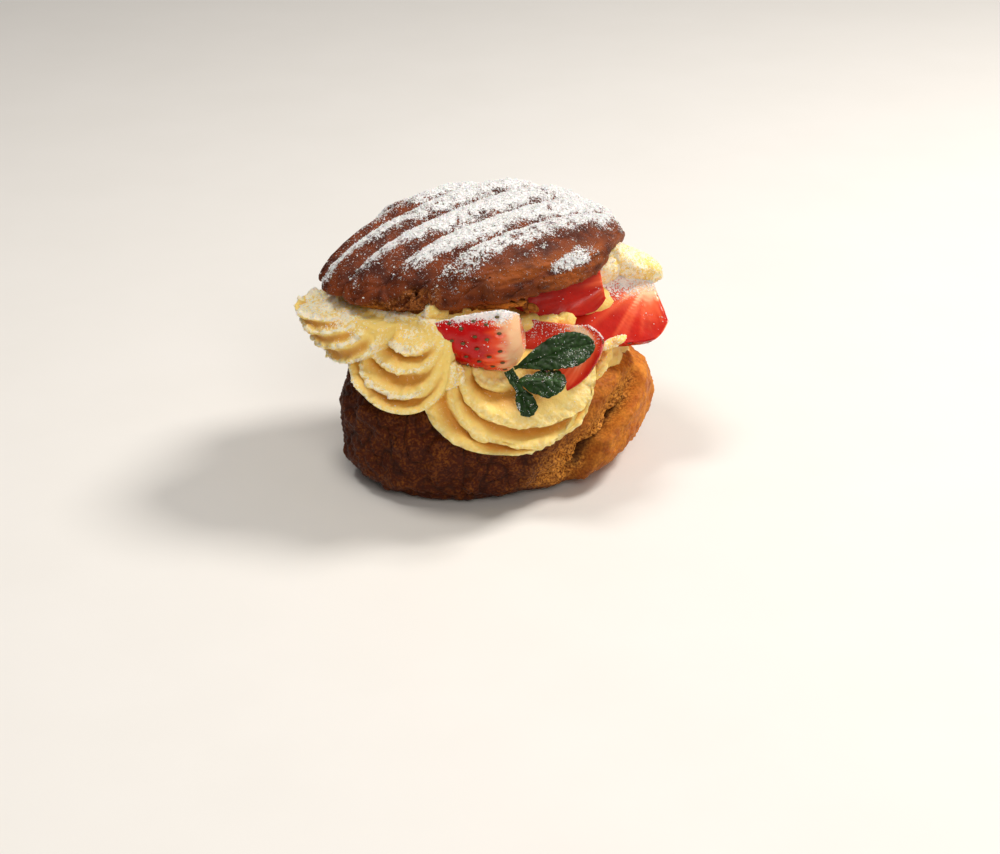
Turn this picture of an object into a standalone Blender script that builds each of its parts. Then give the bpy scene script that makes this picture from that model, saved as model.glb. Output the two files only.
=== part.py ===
"""Filled choux bun: craggy base, piped cream, cut strawberries, mint sprig and ridged lid.

Frame: +X along the bun's widest extent, +Y to the back, +Z up, origin on the resting
plane under the middle of the bun's outline. Lengths are in metres, angles in degrees
where a name ends in _DEG. Shapes are worked out about the base's own upright axis and
moved together by MIDDLE at the end.
"""
import math
from collections import namedtuple

import bmesh
import bpy
import numpy as np
from mathutils import Matrix, Vector

MM = 0.001
GAP = 0.4 * MM                        # clearance kept between neighbouring solids
LID_GAP = 0.6 * MM                    # the same around the steeper lid
MIDDLE = Vector((3.62 * MM, 0.59 * MM, 0.0))  # from the base's axis to the outline's middle
SMOOTH_BELOW_DEG = 40.0               # edges flatter than this are shaded round

# Base shell: an oval cushion of crust, flat where it stands and where the cream lies. Its
# wall follows a rounded section that is squarer on the left than on the right.
BASE_HALF_LENGTH = 46.0 * MM
BASE_HALF_WIDTH = 36.0 * MM
BASE_TURN_DEG = 25.0
BASE_HEIGHT = 29.0 * MM
BASE_CROWN = 0.8 * MM
BASE_TOP_SHARE = 0.93                 # the flat top against the outline just below it
BASE_SECTION = (0.06, 0.86)           # the part of the full rounded section that is used
BASE_SQUARENESS = (4.6, 2.6)          # of the section, on the left and on the right
BASE_ROUND_SIDE_DEG = -10.0
BASE_COLUMNS = 72
BASE_ROWS = 9
BASE_RELIEF = 1.5 * MM
BASE_RELIEF_SIZE = 9.0 * MM
BASE_FINE_RELIEF = (0.5, 1.0 / 2.2)   # height and size against the coarse relief
CRACK_START = np.array((35.5, -19.0, 22.0)) * MM
CRACK_END = np.array((30.5, -24.5, 7.5)) * MM
CRACK_DEPTH = 6.0 * MM
CRACK_WIDTH = 3.4 * MM

# Lid: an oval dome crossed by round ridges, with a hollow torn under its right end.
# "Along" runs along the ridges and "across" from the front right to the back left.
LID_CENTRE = Vector((-7.0 * MM, 7.5 * MM))
LID_HALF_LENGTH = 45.0 * MM
LID_HALF_WIDTH = 34.5 * MM
LID_TURN_DEG = 24.7
LID_RIDGE_TURN_DEG = 43.0
LID_RIM_HEIGHT = 57.6 * MM
LID_RIM_SLOPE = 0.055
LID_RIM_THICKNESS = 2.0 * MM
LID_RISE = 16.2 * MM
LID_END_DROP = 0.5                    # share of the rise lost towards the left and right ends
LID_DOME = (2.2, 0.45)                # powers of the dome's profile: flat top, steep wall
LID_WALL = 4.0 * MM                   # least crust left over the hollow
LID_RIDGES = 9
LID_RIDGE_DEPTH = 3.4 * MM
LID_RIDGE_ROUNDNESS = 0.7
LID_STEEPEST = 2.4                    # how much deeper a valley may cut on the steep wall
LID_SLICES_PER_RIDGE = 4
LID_STEPS = 14
LID_BACK_START = -9.0 * MM            # the hindmost ridges begin here, along
LID_BACK_PHASES = (6.6, 7.9)
LID_END_OFFSET = 81.0 * MM            # the torn right end: where it crosses, and its slant
LID_END_SLANT = 1.9
HOLLOW_CENTRE = (26.0 * MM, -21.0 * MM)
HOLLOW_REACH = (26.0 * MM, 12.5 * MM)
HOLLOW_RISE = 10.0 * MM

# Cream core: the low middle of the piped body, stepped back at the front right.
CORE_COLUMNS = 56
CORE_LEVELS = 6
CORE_START = 0.023                    # radians, so no column falls in line with the base's
CORE_FLOOR = 23.0 * MM
CORE_FOOT = 28.0 * MM
CORE_EDGE = 55.0 * MM
CORE_PEAK = 60.5 * MM
CORE_CROWN = 59.4 * MM
CORE_CROWN_SHARE = 0.5
CORE_SHARE = 0.84                     # of the base's oval, below the step and above it
CORE_STEP_SHARE = 0.40
CORE_STEP_HEIGHT = 37.0 * MM
CORE_STEP_BLEND = 6.0 * MM
CORE_STEP_DEG = -55.0
CORE_STEP_SPREAD_DEG = 44.0

# Cream lobes: one for each push of the nozzle. A lobe is a nest of hanging lips, each wider
# and lower than the one inside it, from a level top with a crown above it. A lip is its turn
# from the lobe's angle, its half angle and how far its lowest point leans, in degrees, then
# its drop below the lobe's top and its reach past the base's oval.
LOBE_STEPS = 12
LOBE_ROOT = 24.0 * MM
LIP_HOLLOW = 2.0 * MM
LIP_HANG = 0.8                        # roundness of a lip's hanging edge
LIP_TUCK = 0.45                       # how sharply its two arms turn in
VALLEY_LEAN = 0.7
LIP_SAMPLES = (0.5, 1.0, 1.4, 2.0, 2.4, 3.0, 3.4, 4.0)
Lobe = namedtuple("Lobe", "name angle top crown pocket lips")
Lip = namedtuple("Lip", "turn half lean drop reach")
SCALLOP_LIPS = (
    Lip(-2.0, 10.5, 0.0, 5.0 * MM, -3.0 * MM),
    Lip(-2.5, 13.0, 1.0, 11.0 * MM, 0.4 * MM),
    Lip(-5.0, 17.0, 5.0, 19.6 * MM, 4.2 * MM),
    Lip(-7.0, 21.0, 8.0, 23.4 * MM, 5.4 * MM),
)
WING_LIPS = (
    Lip(-2.0, 16.0, -2.0, 2.4 * MM, 12.0 * MM),
    Lip(0.0, 19.0, 2.0, 5.8 * MM, 10.5 * MM),
    Lip(1.0, 21.0, 4.0, 9.2 * MM, 8.5 * MM),
    Lip(2.0, 23.0, 6.0, 12.4 * MM, 5.0 * MM),
)
SWAG_LIPS = (
    Lip(-18.0, 8.0, 0.0, 5.0 * MM, -2.0 * MM),
    Lip(0.5, 30.0, 1.0, 16.0 * MM, 4.4 * MM),
    Lip(-1.5, 33.0, 2.0, 21.6 * MM, 6.0 * MM),
    Lip(-4.5, 37.0, 2.0, 23.4 * MM, 5.2 * MM),
)
SHOULDER_LIPS = (
    Lip(0.0, 14.0, 0.0, 3.0 * MM, -1.5 * MM),
    Lip(0.0, 18.0, 0.0, 6.0 * MM, -1.0 * MM),
    Lip(0.0, 22.0, 0.0, 10.0 * MM, -1.0 * MM),
    Lip(0.0, 26.0, 0.0, 16.0 * MM, -3.0 * MM),
)
SIDE_LIPS = (
    Lip(-6.0, 8.0, 0.0, 2.0 * MM, -6.5 * MM),
    Lip(-3.0, 12.0, 0.0, 4.5 * MM, -5.5 * MM),
    Lip(0.0, 17.0, 0.0, 8.0 * MM, -5.0 * MM),
    Lip(0.0, 20.0, 0.0, 12.4 * MM, -4.6 * MM),
)
LOBES = (
    Lobe("cream_wing", -160.0, 52.6 * MM, 2.5 * MM, 0.0, WING_LIPS),
    Lobe("cream_scallop", -126.0, 54.5 * MM, 1.0 * MM, -8.0 * MM, SCALLOP_LIPS),
    Lobe("cream_swag", -75.0, 43.2 * MM, 1.0 * MM, -9.0 * MM, SWAG_LIPS),
    Lobe("cream_right", -23.0, 43.0 * MM, 0.5 * MM, -11.0 * MM, SIDE_LIPS),
    Lobe("cream_shoulder", 22.0, 57.5 * MM, 1.5 * MM, -8.0 * MM, SHOULDER_LIPS),
    Lobe("cream_back_right", 67.0, 54.2 * MM, 1.0 * MM, -8.0 * MM, SCALLOP_LIPS),
    Lobe("cream_back", 105.0, 54.5 * MM, 1.0 * MM, -8.0 * MM, SCALLOP_LIPS),
    Lobe("cream_back_left", 142.0, 54.0 * MM, 1.0 * MM, -8.0 * MM, SCALLOP_LIPS),
    Lobe("cream_left", 175.0, 53.6 * MM, 1.0 * MM, -8.0 * MM, SCALLOP_LIPS),
)

# Strawberries: half fruits, in millimetres. Place is the middle of the calyx end, axis
# points to the tip and face is the outward direction of the cut.
Berry = namedtuple("Berry", "name place axis face radius length")
BERRIES = (
    Berry("strawberry_front", (6.5, -27.0, 52.5), (-1.0, 0.05, -0.12), (0.0, 0.66, 0.75), 12.6, 27.0),
    Berry("strawberry_middle", (17.2, -22.5, 50.0), (-0.12, -0.1, -1.0), (-0.28, -0.93, 0.1), 12.6, 19.4),
    Berry("strawberry_right", (46.0, 2.0, 47.5), (-1.0, -0.42, -0.06), (-0.1, -0.72, 0.62), 11.5, 35.0),
    Berry("strawberry_under_lid", (29.0, -5.5, 56.5), (-1.0, -0.3, -0.12), (-0.1, -0.95, 0.25), 8.6, 27.0),
    Berry("strawberry_back_right", (23.0, 29.5, 51.5), (-1.0, 0.32, -0.1), (0.1, -0.5, 0.85), 11.0, 26.0),
    Berry("strawberry_back_left", (-36.5, 13.5, 49.5), (0.5, 0.85, -0.15), (0.45, -0.35, 0.8), 10.0, 23.0),
)
BERRY_RINGS = 7
BERRY_ARC_STEPS = 10
BERRY_FACE_STEPS = 3
BERRY_CALYX_DROP = 0.28               # how far the outline falls in at the calyx end
BERRY_CALYX_REACH = 0.22
BERRY_POINT = (2.3, 0.62)             # powers of the outline's taper to the tip

# Mint leaves: thin blades, in millimetres. Stem and tip are the ends of the midrib, up is
# the blade's upper side at its middle, arch lifts the middle and cup lifts the two sides.
Leaf = namedtuple("Leaf", "name stem tip up width arch cup")
LEAVES = (
    Leaf("mint_leaf_large", (5.8, -36.2, 44.0), (24.5, -29.6, 47.0), (-0.15, -0.86, 0.5), 12.0, 2.5, 1.2),
    Leaf("mint_leaf_folded", (7.6, -40.0, 41.8), (17.8, -41.6, 43.4), (0.1, -0.8, 0.6), 7.0, 1.5, 1.2),
    Leaf("mint_leaf_small", (2.8, -38.2, 43.4), (9.0, -42.8, 32.2), (0.35, -0.9, 0.3), 5.4, 0.4, 0.8),
)
LEAF_THICKNESS = 0.5 * MM
LEAF_LENGTH_STEPS = 8
LEAF_WIDTH_STEPS = 4
LEAF_STALK_SHARE = 0.12               # half width of the blade's two ends against its middle
LEAF_POWERS = (0.85, 0.7)             # where the blade is widest, and how blunt it is

# Colours and roughness of the materials.
CRUST = ("Crust", (0.30, 0.13, 0.045), 0.6)
DUSTED_CRUST = ("Dusted crust", (0.72, 0.64, 0.56), 0.8)
CUSTARD = ("Custard cream", (0.83, 0.62, 0.24), 0.5)
FRUIT = ("Strawberry", (0.60, 0.04, 0.03), 0.3)
MINT = ("Mint", (0.05, 0.14, 0.04), 0.45)
CUTTER = ("Cutter", (0.5, 0.5, 0.5), 0.5)


def clear_scene():
    for item in list(bpy.data.objects):
        bpy.data.objects.remove(item, do_unlink=True)


def make_material(name, colour, roughness):
    material = bpy.data.materials.new(name)
    material.use_nodes = True
    shader = material.node_tree.nodes["Principled BSDF"]
    shader.inputs["Base Color"].default_value = (*colour, 1.0)
    shader.inputs["Roughness"].default_value = roughness
    shader.inputs["Metallic"].default_value = 0.0
    return material


def place_object(name, mesh, material):
    """Link a mesh as one named object, with its round surfaces shaded smooth."""
    mesh.materials.append(material)
    mesh.shade_smooth()
    mesh.set_sharp_from_angle(angle=math.radians(SMOOTH_BELOW_DEG))
    item = bpy.data.objects.new(name, mesh)
    bpy.context.scene.collection.objects.link(item)
    return item


def finish_mesh(name, body):
    """Turn a closed bmesh's faces outward and store it."""
    bmesh.ops.recalc_face_normals(body, faces=body.faces)
    if body.calc_volume(signed=True) < 0.0:
        bmesh.ops.reverse_faces(body, faces=body.faces)
    mesh = bpy.data.meshes.new(name)
    body.to_mesh(mesh)
    body.free()
    return mesh


def close_fan(body, ring, point):
    """Close a ring of vertices with triangles that meet at one point."""
    apex = body.verts.new(point)
    for step, vertex in enumerate(ring):
        body.faces.new((vertex, ring[(step + 1) % len(ring)], apex))


def close_loops(name, loops, first_point=None, last_point=None):
    """Skin a stack of equal closed loops; the ends close on a point, or flat without one."""
    body = bmesh.new()
    rings = [[body.verts.new(point) for point in loop] for loop in loops]
    count = len(rings[0])
    for upper, lower in zip(rings, rings[1:]):
        for step in range(count):
            after = (step + 1) % count
            body.faces.new((upper[step], upper[after], lower[after], lower[step]))
    for ring, point in ((rings[0], first_point), (rings[-1], last_point)):
        if point is None:
            body.faces.new(ring)
        else:
            close_fan(body, ring, point)
    return finish_mesh(name, body)


def lattice_value(cell, seed):
    """A repeatable value from 0 to 1 for each whole-number lattice cell."""
    mixed = cell[..., 0] * 127.1 + cell[..., 1] * 311.7 + cell[..., 2] * 74.7 + seed * 19.3
    wave = np.sin(mixed) * 43758.5453
    return wave - np.floor(wave)


def smooth_noise(points, size, seed):
    """Smooth lumps from -1 to 1, about one size across."""
    scaled = points / size
    corner = np.floor(scaled)
    part = scaled - corner
    blend = part * part * (3.0 - 2.0 * part)
    total = np.zeros(points.shape[:-1])
    for index in range(8):
        step = np.array([index & 1, (index >> 1) & 1, (index >> 2) & 1], dtype=float)
        weight = np.prod(np.where(step > 0, blend, 1.0 - blend), axis=-1)
        total += weight * lattice_value(corner + step, seed)
    return 2.0 * total - 1.0


def base_oval(angle):
    """Radius of the base's oval outline at an angle about its axis."""
    local = angle - math.radians(BASE_TURN_DEG)
    return 1.0 / np.hypot(np.cos(local) / BASE_HALF_LENGTH, np.sin(local) / BASE_HALF_WIDTH)


def ring_points(angle, radius, height):
    flat = np.broadcast_arrays(radius * np.cos(angle), radius * np.sin(angle), height)
    return np.stack(flat, axis=-1)


# ---------------------------------------------------------------- base shell

def base_belly(angle, level):
    """Share of the oval at a level from 0 (floor) to 1 (top)."""
    right = 0.5 + 0.5 * np.cos(angle - math.radians(BASE_ROUND_SIDE_DEG))
    square_left, square_right = BASE_SQUARENESS
    power = square_left + (square_right - square_left) * right
    low, high = BASE_SECTION
    from_middle = 2.0 * (low + (high - low) * level) - 1.0
    return (1.0 - np.abs(from_middle) ** power) ** (1.0 / power)


def crack_cut(points):
    """Depth of the torn crack on the front right, deeper towards its foot."""
    along = CRACK_END - CRACK_START
    share = np.clip(((points - CRACK_START) @ along) / (along @ along), 0.0, 1.0)
    away = np.linalg.norm(points - CRACK_START - share[..., None] * along, axis=-1)
    return CRACK_DEPTH * (0.5 + 0.5 * share) * np.exp(-((away / CRACK_WIDTH) ** 2))


def base_radius(angle, height):
    radius = base_oval(angle) * base_belly(angle, height / BASE_HEIGHT)
    points = ring_points(angle, radius, height)
    fine_height, fine_size = BASE_FINE_RELIEF
    lumps = smooth_noise(points, BASE_RELIEF_SIZE, 3)
    lumps = lumps + fine_height * smooth_noise(points, BASE_RELIEF_SIZE * fine_size, 5)
    return radius + BASE_RELIEF * lumps - crack_cut(points)


def base_mesh(name, grow=0.0):
    angles = np.linspace(0.0, 2.0 * math.pi, BASE_COLUMNS, endpoint=False)
    loops = []
    for level in np.linspace(0.0, 1.0, BASE_ROWS):
        radius = base_radius(angles, level * BASE_HEIGHT) + grow
        height = level * (BASE_HEIGHT + 2.0 * grow) - grow
        loops.append(ring_points(angles, radius, height))
    top = loops[-1] * (BASE_TOP_SHARE, BASE_TOP_SHARE, 1.0) + (0.0, 0.0, BASE_CROWN)
    loops.append(top)
    return close_loops(name, loops, (0.0, 0.0, -grow), (0.0, 0.0, float(top[0, 2])))


# ---------------------------------------------------------------- lid

def lid_axes():
    turn = math.radians(LID_RIDGE_TURN_DEG)
    return Vector((math.cos(turn), math.sin(turn))), Vector((-math.sin(turn), math.cos(turn)))


def lid_outline_terms():
    """Terms of the oval a*along^2 + b*along*across + c*across^2 = 1 in the ridges' axes."""
    lean = math.radians(LID_TURN_DEG - LID_RIDGE_TURN_DEG)
    cosine, sine = math.cos(lean), math.sin(lean)
    long_term, wide_term = LID_HALF_LENGTH ** -2, LID_HALF_WIDTH ** -2
    return (
        cosine ** 2 * long_term + sine ** 2 * wide_term,
        2.0 * cosine * sine * (long_term - wide_term),
        sine ** 2 * long_term + cosine ** 2 * wide_term,
    )


def lid_half_span():
    """Half of the lid's extent across the ridges."""
    along, mixed, across = lid_outline_terms()
    return math.sqrt(4.0 * along / (4.0 * along * across - mixed ** 2))


def lid_slice_ends(offset, phase, cut):
    """Middle, half length, first and last point of a slice along the ridges."""
    along, mixed, across = lid_outline_terms()
    inner = (mixed * offset) ** 2 - 4.0 * along * (across * offset ** 2 - 1.0)
    half = math.sqrt(max(inner, 0.0)) / (2.0 * along)
    half -= 0.8 * min(cut, 0.3 * half)
    middle = -mixed * offset / (2.0 * along)
    first = middle - half
    held_back = float(np.interp(phase, LID_BACK_PHASES, (0.0, 1.0)))
    first += held_back * max(LID_BACK_START - first, 0.0)
    last = min(middle + half, LID_END_OFFSET + LID_END_SLANT * offset)
    return middle, half, first, last


def lid_slice(offset, phase, grow):
    """Upper and lower rows of one slice, each as positions along it and heights."""
    cut = LID_RIDGE_DEPTH * (1.0 - abs(math.cos(math.pi * phase)) ** LID_RIDGE_ROUNDNESS)
    middle, half, first, last = lid_slice_ends(offset, phase, cut)
    turn = np.linspace(0.0, math.pi, LID_STEPS)
    reach = 0.5 * (first + last) - 0.5 * (last - first) * np.cos(turn)
    along, mixed, across = lid_outline_terms()
    share = np.clip(along * reach ** 2 + mixed * reach * offset + across * offset ** 2, 0.0, 1.0)
    flatness, steepness = LID_DOME
    dome = (1.0 - share ** flatness) ** steepness
    forward, sideways = lid_axes()
    sideways_share = (reach * forward.x + offset * sideways.x) / LID_HALF_LENGTH
    rise = LID_RISE * (1.0 - LID_END_DROP * sideways_share ** 2)
    valley = cut * np.minimum(1.0, LID_STEEPEST * dome)
    upper = np.maximum(rise * dome - valley, LID_RIM_THICKNESS)
    hollow_along = (reach - HOLLOW_CENTRE[0]) / HOLLOW_REACH[0]
    hollow_across = (offset - HOLLOW_CENTRE[1]) / HOLLOW_REACH[1]
    hollow = HOLLOW_RISE * (1.0 - hollow_along ** 2 - hollow_across ** 2)
    lower = np.clip(hollow, 0.0, np.maximum(upper - LID_WALL, 0.0))
    spread = middle + (reach - middle) * (1.0 + grow / max(half, 2.0 * MM))
    return (spread, upper + grow), (reach[::-1], lower[::-1] - grow)


def lid_mesh(name, grow=0.0):
    forward, sideways = lid_axes()
    span = lid_half_span()
    count = LID_RIDGES * LID_SLICES_PER_RIDGE
    loops = []
    for index in range(1, count):
        share = index / count
        offset = -span * math.cos(math.pi * share)
        outside, inside = lid_slice(offset, share * LID_RIDGES + 0.5, grow)
        rows = []
        for (reach, heights), across in ((outside, offset * (1.0 + grow / span)), (inside, offset)):
            plan_x = LID_CENTRE.x + reach * forward.x + across * sideways.x
            plan_y = LID_CENTRE.y + reach * forward.y + across * sideways.y
            rim = LID_RIM_HEIGHT + LID_RIM_SLOPE * (plan_x - LID_CENTRE.x)
            rows.append(np.stack((plan_x, plan_y, rim + heights), axis=-1))
        loops.append(np.concatenate(rows))
    return close_loops(name, loops)


# ---------------------------------------------------------------- cream

def core_mesh(name):
    turns = np.linspace(-math.pi, math.pi, CORE_COLUMNS, endpoint=False) + CORE_START
    stepped = np.exp(-(((np.degrees(turns) - CORE_STEP_DEG) / CORE_STEP_SPREAD_DEG) ** 4))
    loops = [ring_points(turns, base_oval(turns) * CORE_CROWN_SHARE, CORE_CROWN)]
    for height in np.linspace(CORE_EDGE, CORE_FOOT, CORE_LEVELS):
        above = min(max((height - CORE_STEP_HEIGHT) / CORE_STEP_BLEND, 0.0), 1.0)
        share = CORE_SHARE + (CORE_STEP_SHARE - CORE_SHARE) * stepped * above
        loops.append(ring_points(turns, base_oval(turns) * share, height))
    return close_loops(name, loops, (0.0, 0.0, CORE_PEAK), (0.0, 0.0, CORE_FLOOR))


def lip_values(lobe, number):
    """A lip's sizes at a running number, from the pocket (0) to the outermost lip."""
    pocket = Lip(lobe.lips[0].turn, 0.0, 0.0, 0.0, lobe.pocket)
    numbers = np.arange(len(lobe.lips) + 1)
    return Lip(*(float(np.interp(number, numbers, row)) for row in zip(pocket, *lobe.lips)))


def lobe_arch(lobe, number):
    """Points along one lip, or the valley above it, from arm top to arm top."""
    lip = lip_values(lobe, number)
    part = number - math.floor(number)
    valley = LIP_HOLLOW * math.sin(math.pi * part ** VALLEY_LEAN) if number > 1.0 else 0.0
    around = np.linspace(0.0, math.pi, LOBE_STEPS + 1)
    low = np.sin(around)
    turn = np.radians(lobe.angle + lip.turn + lip.half * np.cos(around) + lip.lean * low)
    reach = lobe.pocket + (lip.reach - valley - lobe.pocket) * low ** LIP_TUCK
    return ring_points(turn, base_oval(turn) + reach, lobe.top - lip.drop * low ** LIP_HANG)


def root_point(point):
    """The point straight behind one on the lobe's sheet, deep inside the core."""
    turn = math.atan2(point.y, point.x)
    return ring_points(turn, float(base_oval(turn)) - LOBE_ROOT, point.z)


def lobe_mesh(lobe):
    """A sheet of nested lips, closed by its border running straight back to a root."""
    heart = math.radians(lobe.angle + lobe.lips[0].turn)
    oval = float(base_oval(heart))
    body = bmesh.new()
    crown = body.verts.new(ring_points(heart, oval + lobe.pocket, lobe.top + lobe.crown))
    rows = []
    for number in LIP_SAMPLES:
        rows.append([body.verts.new(point) for point in lobe_arch(lobe, number)])
    for step in range(LOBE_STEPS):
        body.faces.new((rows[0][step], rows[0][step + 1], crown))
    for inner, outer in zip(rows, rows[1:]):
        for step in range(LOBE_STEPS):
            body.faces.new((inner[step], inner[step + 1], outer[step + 1], outer[step]))
    arms = [row[0] for row in rows[::-1]] + [crown] + [row[-1] for row in rows]
    border = arms + rows[-1][-2:0:-1]
    root = [body.verts.new(root_point(vertex.co)) for vertex in border]
    for step in range(len(border)):
        after = (step + 1) % len(border)
        body.faces.new((border[step], border[after], root[after], root[step]))
    middle_height = lobe.top - 0.5 * lobe.lips[-1].drop
    close_fan(body, root, ring_points(heart, oval - LOBE_ROOT, middle_height))
    return finish_mesh(lobe.name, body)


# ---------------------------------------------------------------- strawberries

def berry_outline(share):
    """Radius share of the fruit from its calyx end (0) to its tip (1)."""
    calyx = max(1.0 - share / BERRY_CALYX_REACH, 0.0)
    taper, bluntness = BERRY_POINT
    return (1.0 - BERRY_CALYX_DROP * calyx ** 2) * (1.0 - share ** taper) ** bluntness


def berry_mesh(name, berry, grow=0.0):
    """Half a fruit, its flat cut towards +Y and its tip along +Z."""
    radius = berry.radius * MM
    length = berry.length * MM
    arc = np.linspace(0.0, -math.pi, BERRY_ARC_STEPS + 1)
    flat = np.linspace(-1.0, 1.0, BERRY_FACE_STEPS + 1)[1:-1]
    section_x = np.concatenate((np.cos(arc), flat))
    section_y = np.concatenate((np.sin(arc), 0.0 * flat))
    on_cut = section_y > -1e-6
    loops = []
    for share in np.sin(np.linspace(0.0, 0.5 * math.pi, BERRY_RINGS + 1))[:-1]:
        size = radius * berry_outline(float(share)) + grow
        height = share * length - grow * (1.0 - 2.0 * share)
        rise = np.where(on_cut, grow, size * section_y)
        loops.append(np.stack((size * section_x, rise, np.full_like(rise, height)), axis=-1))
    return close_loops(name, loops, None, (0.0, -0.1 * radius, length + grow))


def berry_turn(berry):
    along = Vector(berry.axis).normalized()
    across = Vector(berry.face).cross(along).normalized()
    face = along.cross(across)
    return Matrix((across, face, along)).transposed().to_4x4()


def place_berry(name, berry, material, grow=0.0):
    item = place_object(name, berry_mesh(name, berry, grow), material)
    item.matrix_world = Matrix.Translation(Vector(berry.place) * MM) @ berry_turn(berry)
    return item


# ---------------------------------------------------------------- mint

def leaf_row(leaf, share, body):
    """Vertices across the blade at a share of its midrib's length."""
    stem, tip = Vector(leaf.stem) * MM, Vector(leaf.tip) * MM
    side = (tip - stem).cross(Vector(leaf.up)).normalized()
    lift = side.cross(tip - stem).normalized()
    bulge = math.sin(math.pi * share)
    widest, bluntness = LEAF_POWERS
    width_share = max(math.sin(math.pi * share ** widest) ** bluntness, LEAF_STALK_SHARE)
    half = 0.5 * leaf.width * MM * width_share
    ridge = stem.lerp(tip, share) + lift * leaf.arch * MM * bulge
    row = []
    for part in np.linspace(-1.0, 1.0, LEAF_WIDTH_STEPS + 1).tolist():
        cup = leaf.cup * MM * abs(part) * bulge
        row.append(body.verts.new(ridge + side * half * part + lift * cup))
    return row


def leaf_mesh(leaf):
    body = bmesh.new()
    rows = []
    for step in range(LEAF_LENGTH_STEPS + 1):
        rows.append(leaf_row(leaf, step / LEAF_LENGTH_STEPS, body))
    for near, far in zip(rows, rows[1:]):
        for step in range(LEAF_WIDTH_STEPS):
            body.faces.new((near[step], near[step + 1], far[step + 1], far[step]))
    mesh = bpy.data.meshes.new(leaf.name)
    body.to_mesh(mesh)
    body.free()
    return mesh


def place_leaf(leaf, material):
    item = place_object(leaf.name, leaf_mesh(leaf), material)
    solid = item.modifiers.new("Thickness", "SOLIDIFY")
    solid.thickness = LEAF_THICKNESS
    solid.offset = 0.0
    return item


# ---------------------------------------------------------------- assembly

def combine(item, tools, operation):
    """Join tools to a piece, or take them out of it, in turn."""
    for tool in tools:
        tool.hide_render = True
        tool.display_type = "WIRE"
        step = item.modifiers.new(operation + " " + tool.name, "BOOLEAN")
        step.operation = operation
        step.solver = "EXACT"
        step.object = tool


def box_corners(item):
    """The lowest and the highest corner of a piece's box."""
    corners = np.array([item.matrix_world @ Vector(corner) for corner in item.bound_box])
    return corners.min(axis=0), corners.max(axis=0)


def boxes_meet(item, tool):
    low, high = box_corners(item)
    tool_low, tool_high = box_corners(tool)
    return bool(np.all(low < tool_high) and np.all(tool_low < high))


def place_berries(material, hidden, lid_cutter):
    """Half fruits, each clear of the lid and of the ones before it; returns their cutters."""
    cutters = []
    for berry in BERRIES:
        item = place_berry(berry.name, berry, material)
        tools = [tool for tool in [lid_cutter] + cutters if boxes_meet(item, tool)]
        combine(item, tools, "DIFFERENCE")
        cutters.append(place_berry(berry.name + "_cutter", berry, hidden, GAP))
    return cutters


def shift_to_middle():
    for item in bpy.data.objects:
        item.matrix_world = Matrix.Translation(MIDDLE) @ item.matrix_world


def build():
    clear_scene()
    hidden = make_material(*CUTTER)
    place_object("base_shell", base_mesh("base_shell"), make_material(*CRUST))
    place_object("choux_lid", lid_mesh("choux_lid"), make_material(*DUSTED_CRUST))
    base_cutter = place_object("base_cutter", base_mesh("base_cutter", GAP), hidden)
    lid_cutter = place_object("lid_cutter", lid_mesh("lid_cutter", LID_GAP), hidden)
    berry_cutters = place_berries(make_material(*FRUIT), hidden, lid_cutter)
    cream = place_object("cream_filling", core_mesh("cream_filling"), make_material(*CUSTARD))
    combine(cream, [place_object(lobe.name, lobe_mesh(lobe), hidden) for lobe in LOBES], "UNION")
    combine(cream, [base_cutter, lid_cutter] + berry_cutters, "DIFFERENCE")
    mint = make_material(*MINT)
    for leaf in LEAVES:
        place_leaf(leaf, mint)
    shift_to_middle()


build()
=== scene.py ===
from collections import namedtuple
from math import pi, radians

import bmesh
import bpy
import numpy as np
from mathutils import Matrix, Vector


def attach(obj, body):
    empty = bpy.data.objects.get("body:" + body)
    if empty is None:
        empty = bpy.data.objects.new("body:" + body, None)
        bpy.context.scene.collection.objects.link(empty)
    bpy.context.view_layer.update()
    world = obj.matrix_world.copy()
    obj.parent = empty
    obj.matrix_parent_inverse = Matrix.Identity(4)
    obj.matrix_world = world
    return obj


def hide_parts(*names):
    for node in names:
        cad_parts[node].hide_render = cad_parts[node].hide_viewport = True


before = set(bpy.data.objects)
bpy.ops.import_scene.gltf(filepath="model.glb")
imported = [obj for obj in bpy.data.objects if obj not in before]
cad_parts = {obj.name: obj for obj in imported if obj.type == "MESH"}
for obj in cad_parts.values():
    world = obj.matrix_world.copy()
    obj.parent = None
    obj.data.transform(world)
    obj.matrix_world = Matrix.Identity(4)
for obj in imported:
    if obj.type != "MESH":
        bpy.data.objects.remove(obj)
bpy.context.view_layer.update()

# Lengths in this script are millimetres, and places are measured from the base's axis on the
# table. make_object turns them into metres from the middle of the pastry's outline.
METRES = 0.001
MIDDLE = np.array((3.62, 0.59, 0))
ROOT = "root"
SEEN_HEIGHT, SEEN_DEPTH = 0.899, 0.438  # how far a step up, or back, goes up in the photo

# ---- shapes shared with the CAD

BASE_HALF_LENGTH = 46
BASE_HALF_WIDTH = 36
BASE_TURN = radians(25)
BASE_HEIGHT = 29
BASE_CROWN = 0.8
BASE_SECTION = (0.06, 0.86)  # the part of a whole cushion's height that is used
BASE_SQUARENESS = (4.6, 2.6)  # at the left and at the right
BASE_ROUND_SIDE = radians(-10)
BASE_RELIEF = 1.5
BASE_RELIEF_SIZE = 9
BASE_FINE_RELIEF = (0.5, 1 / 2.2)  # height and size against the coarse relief

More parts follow.
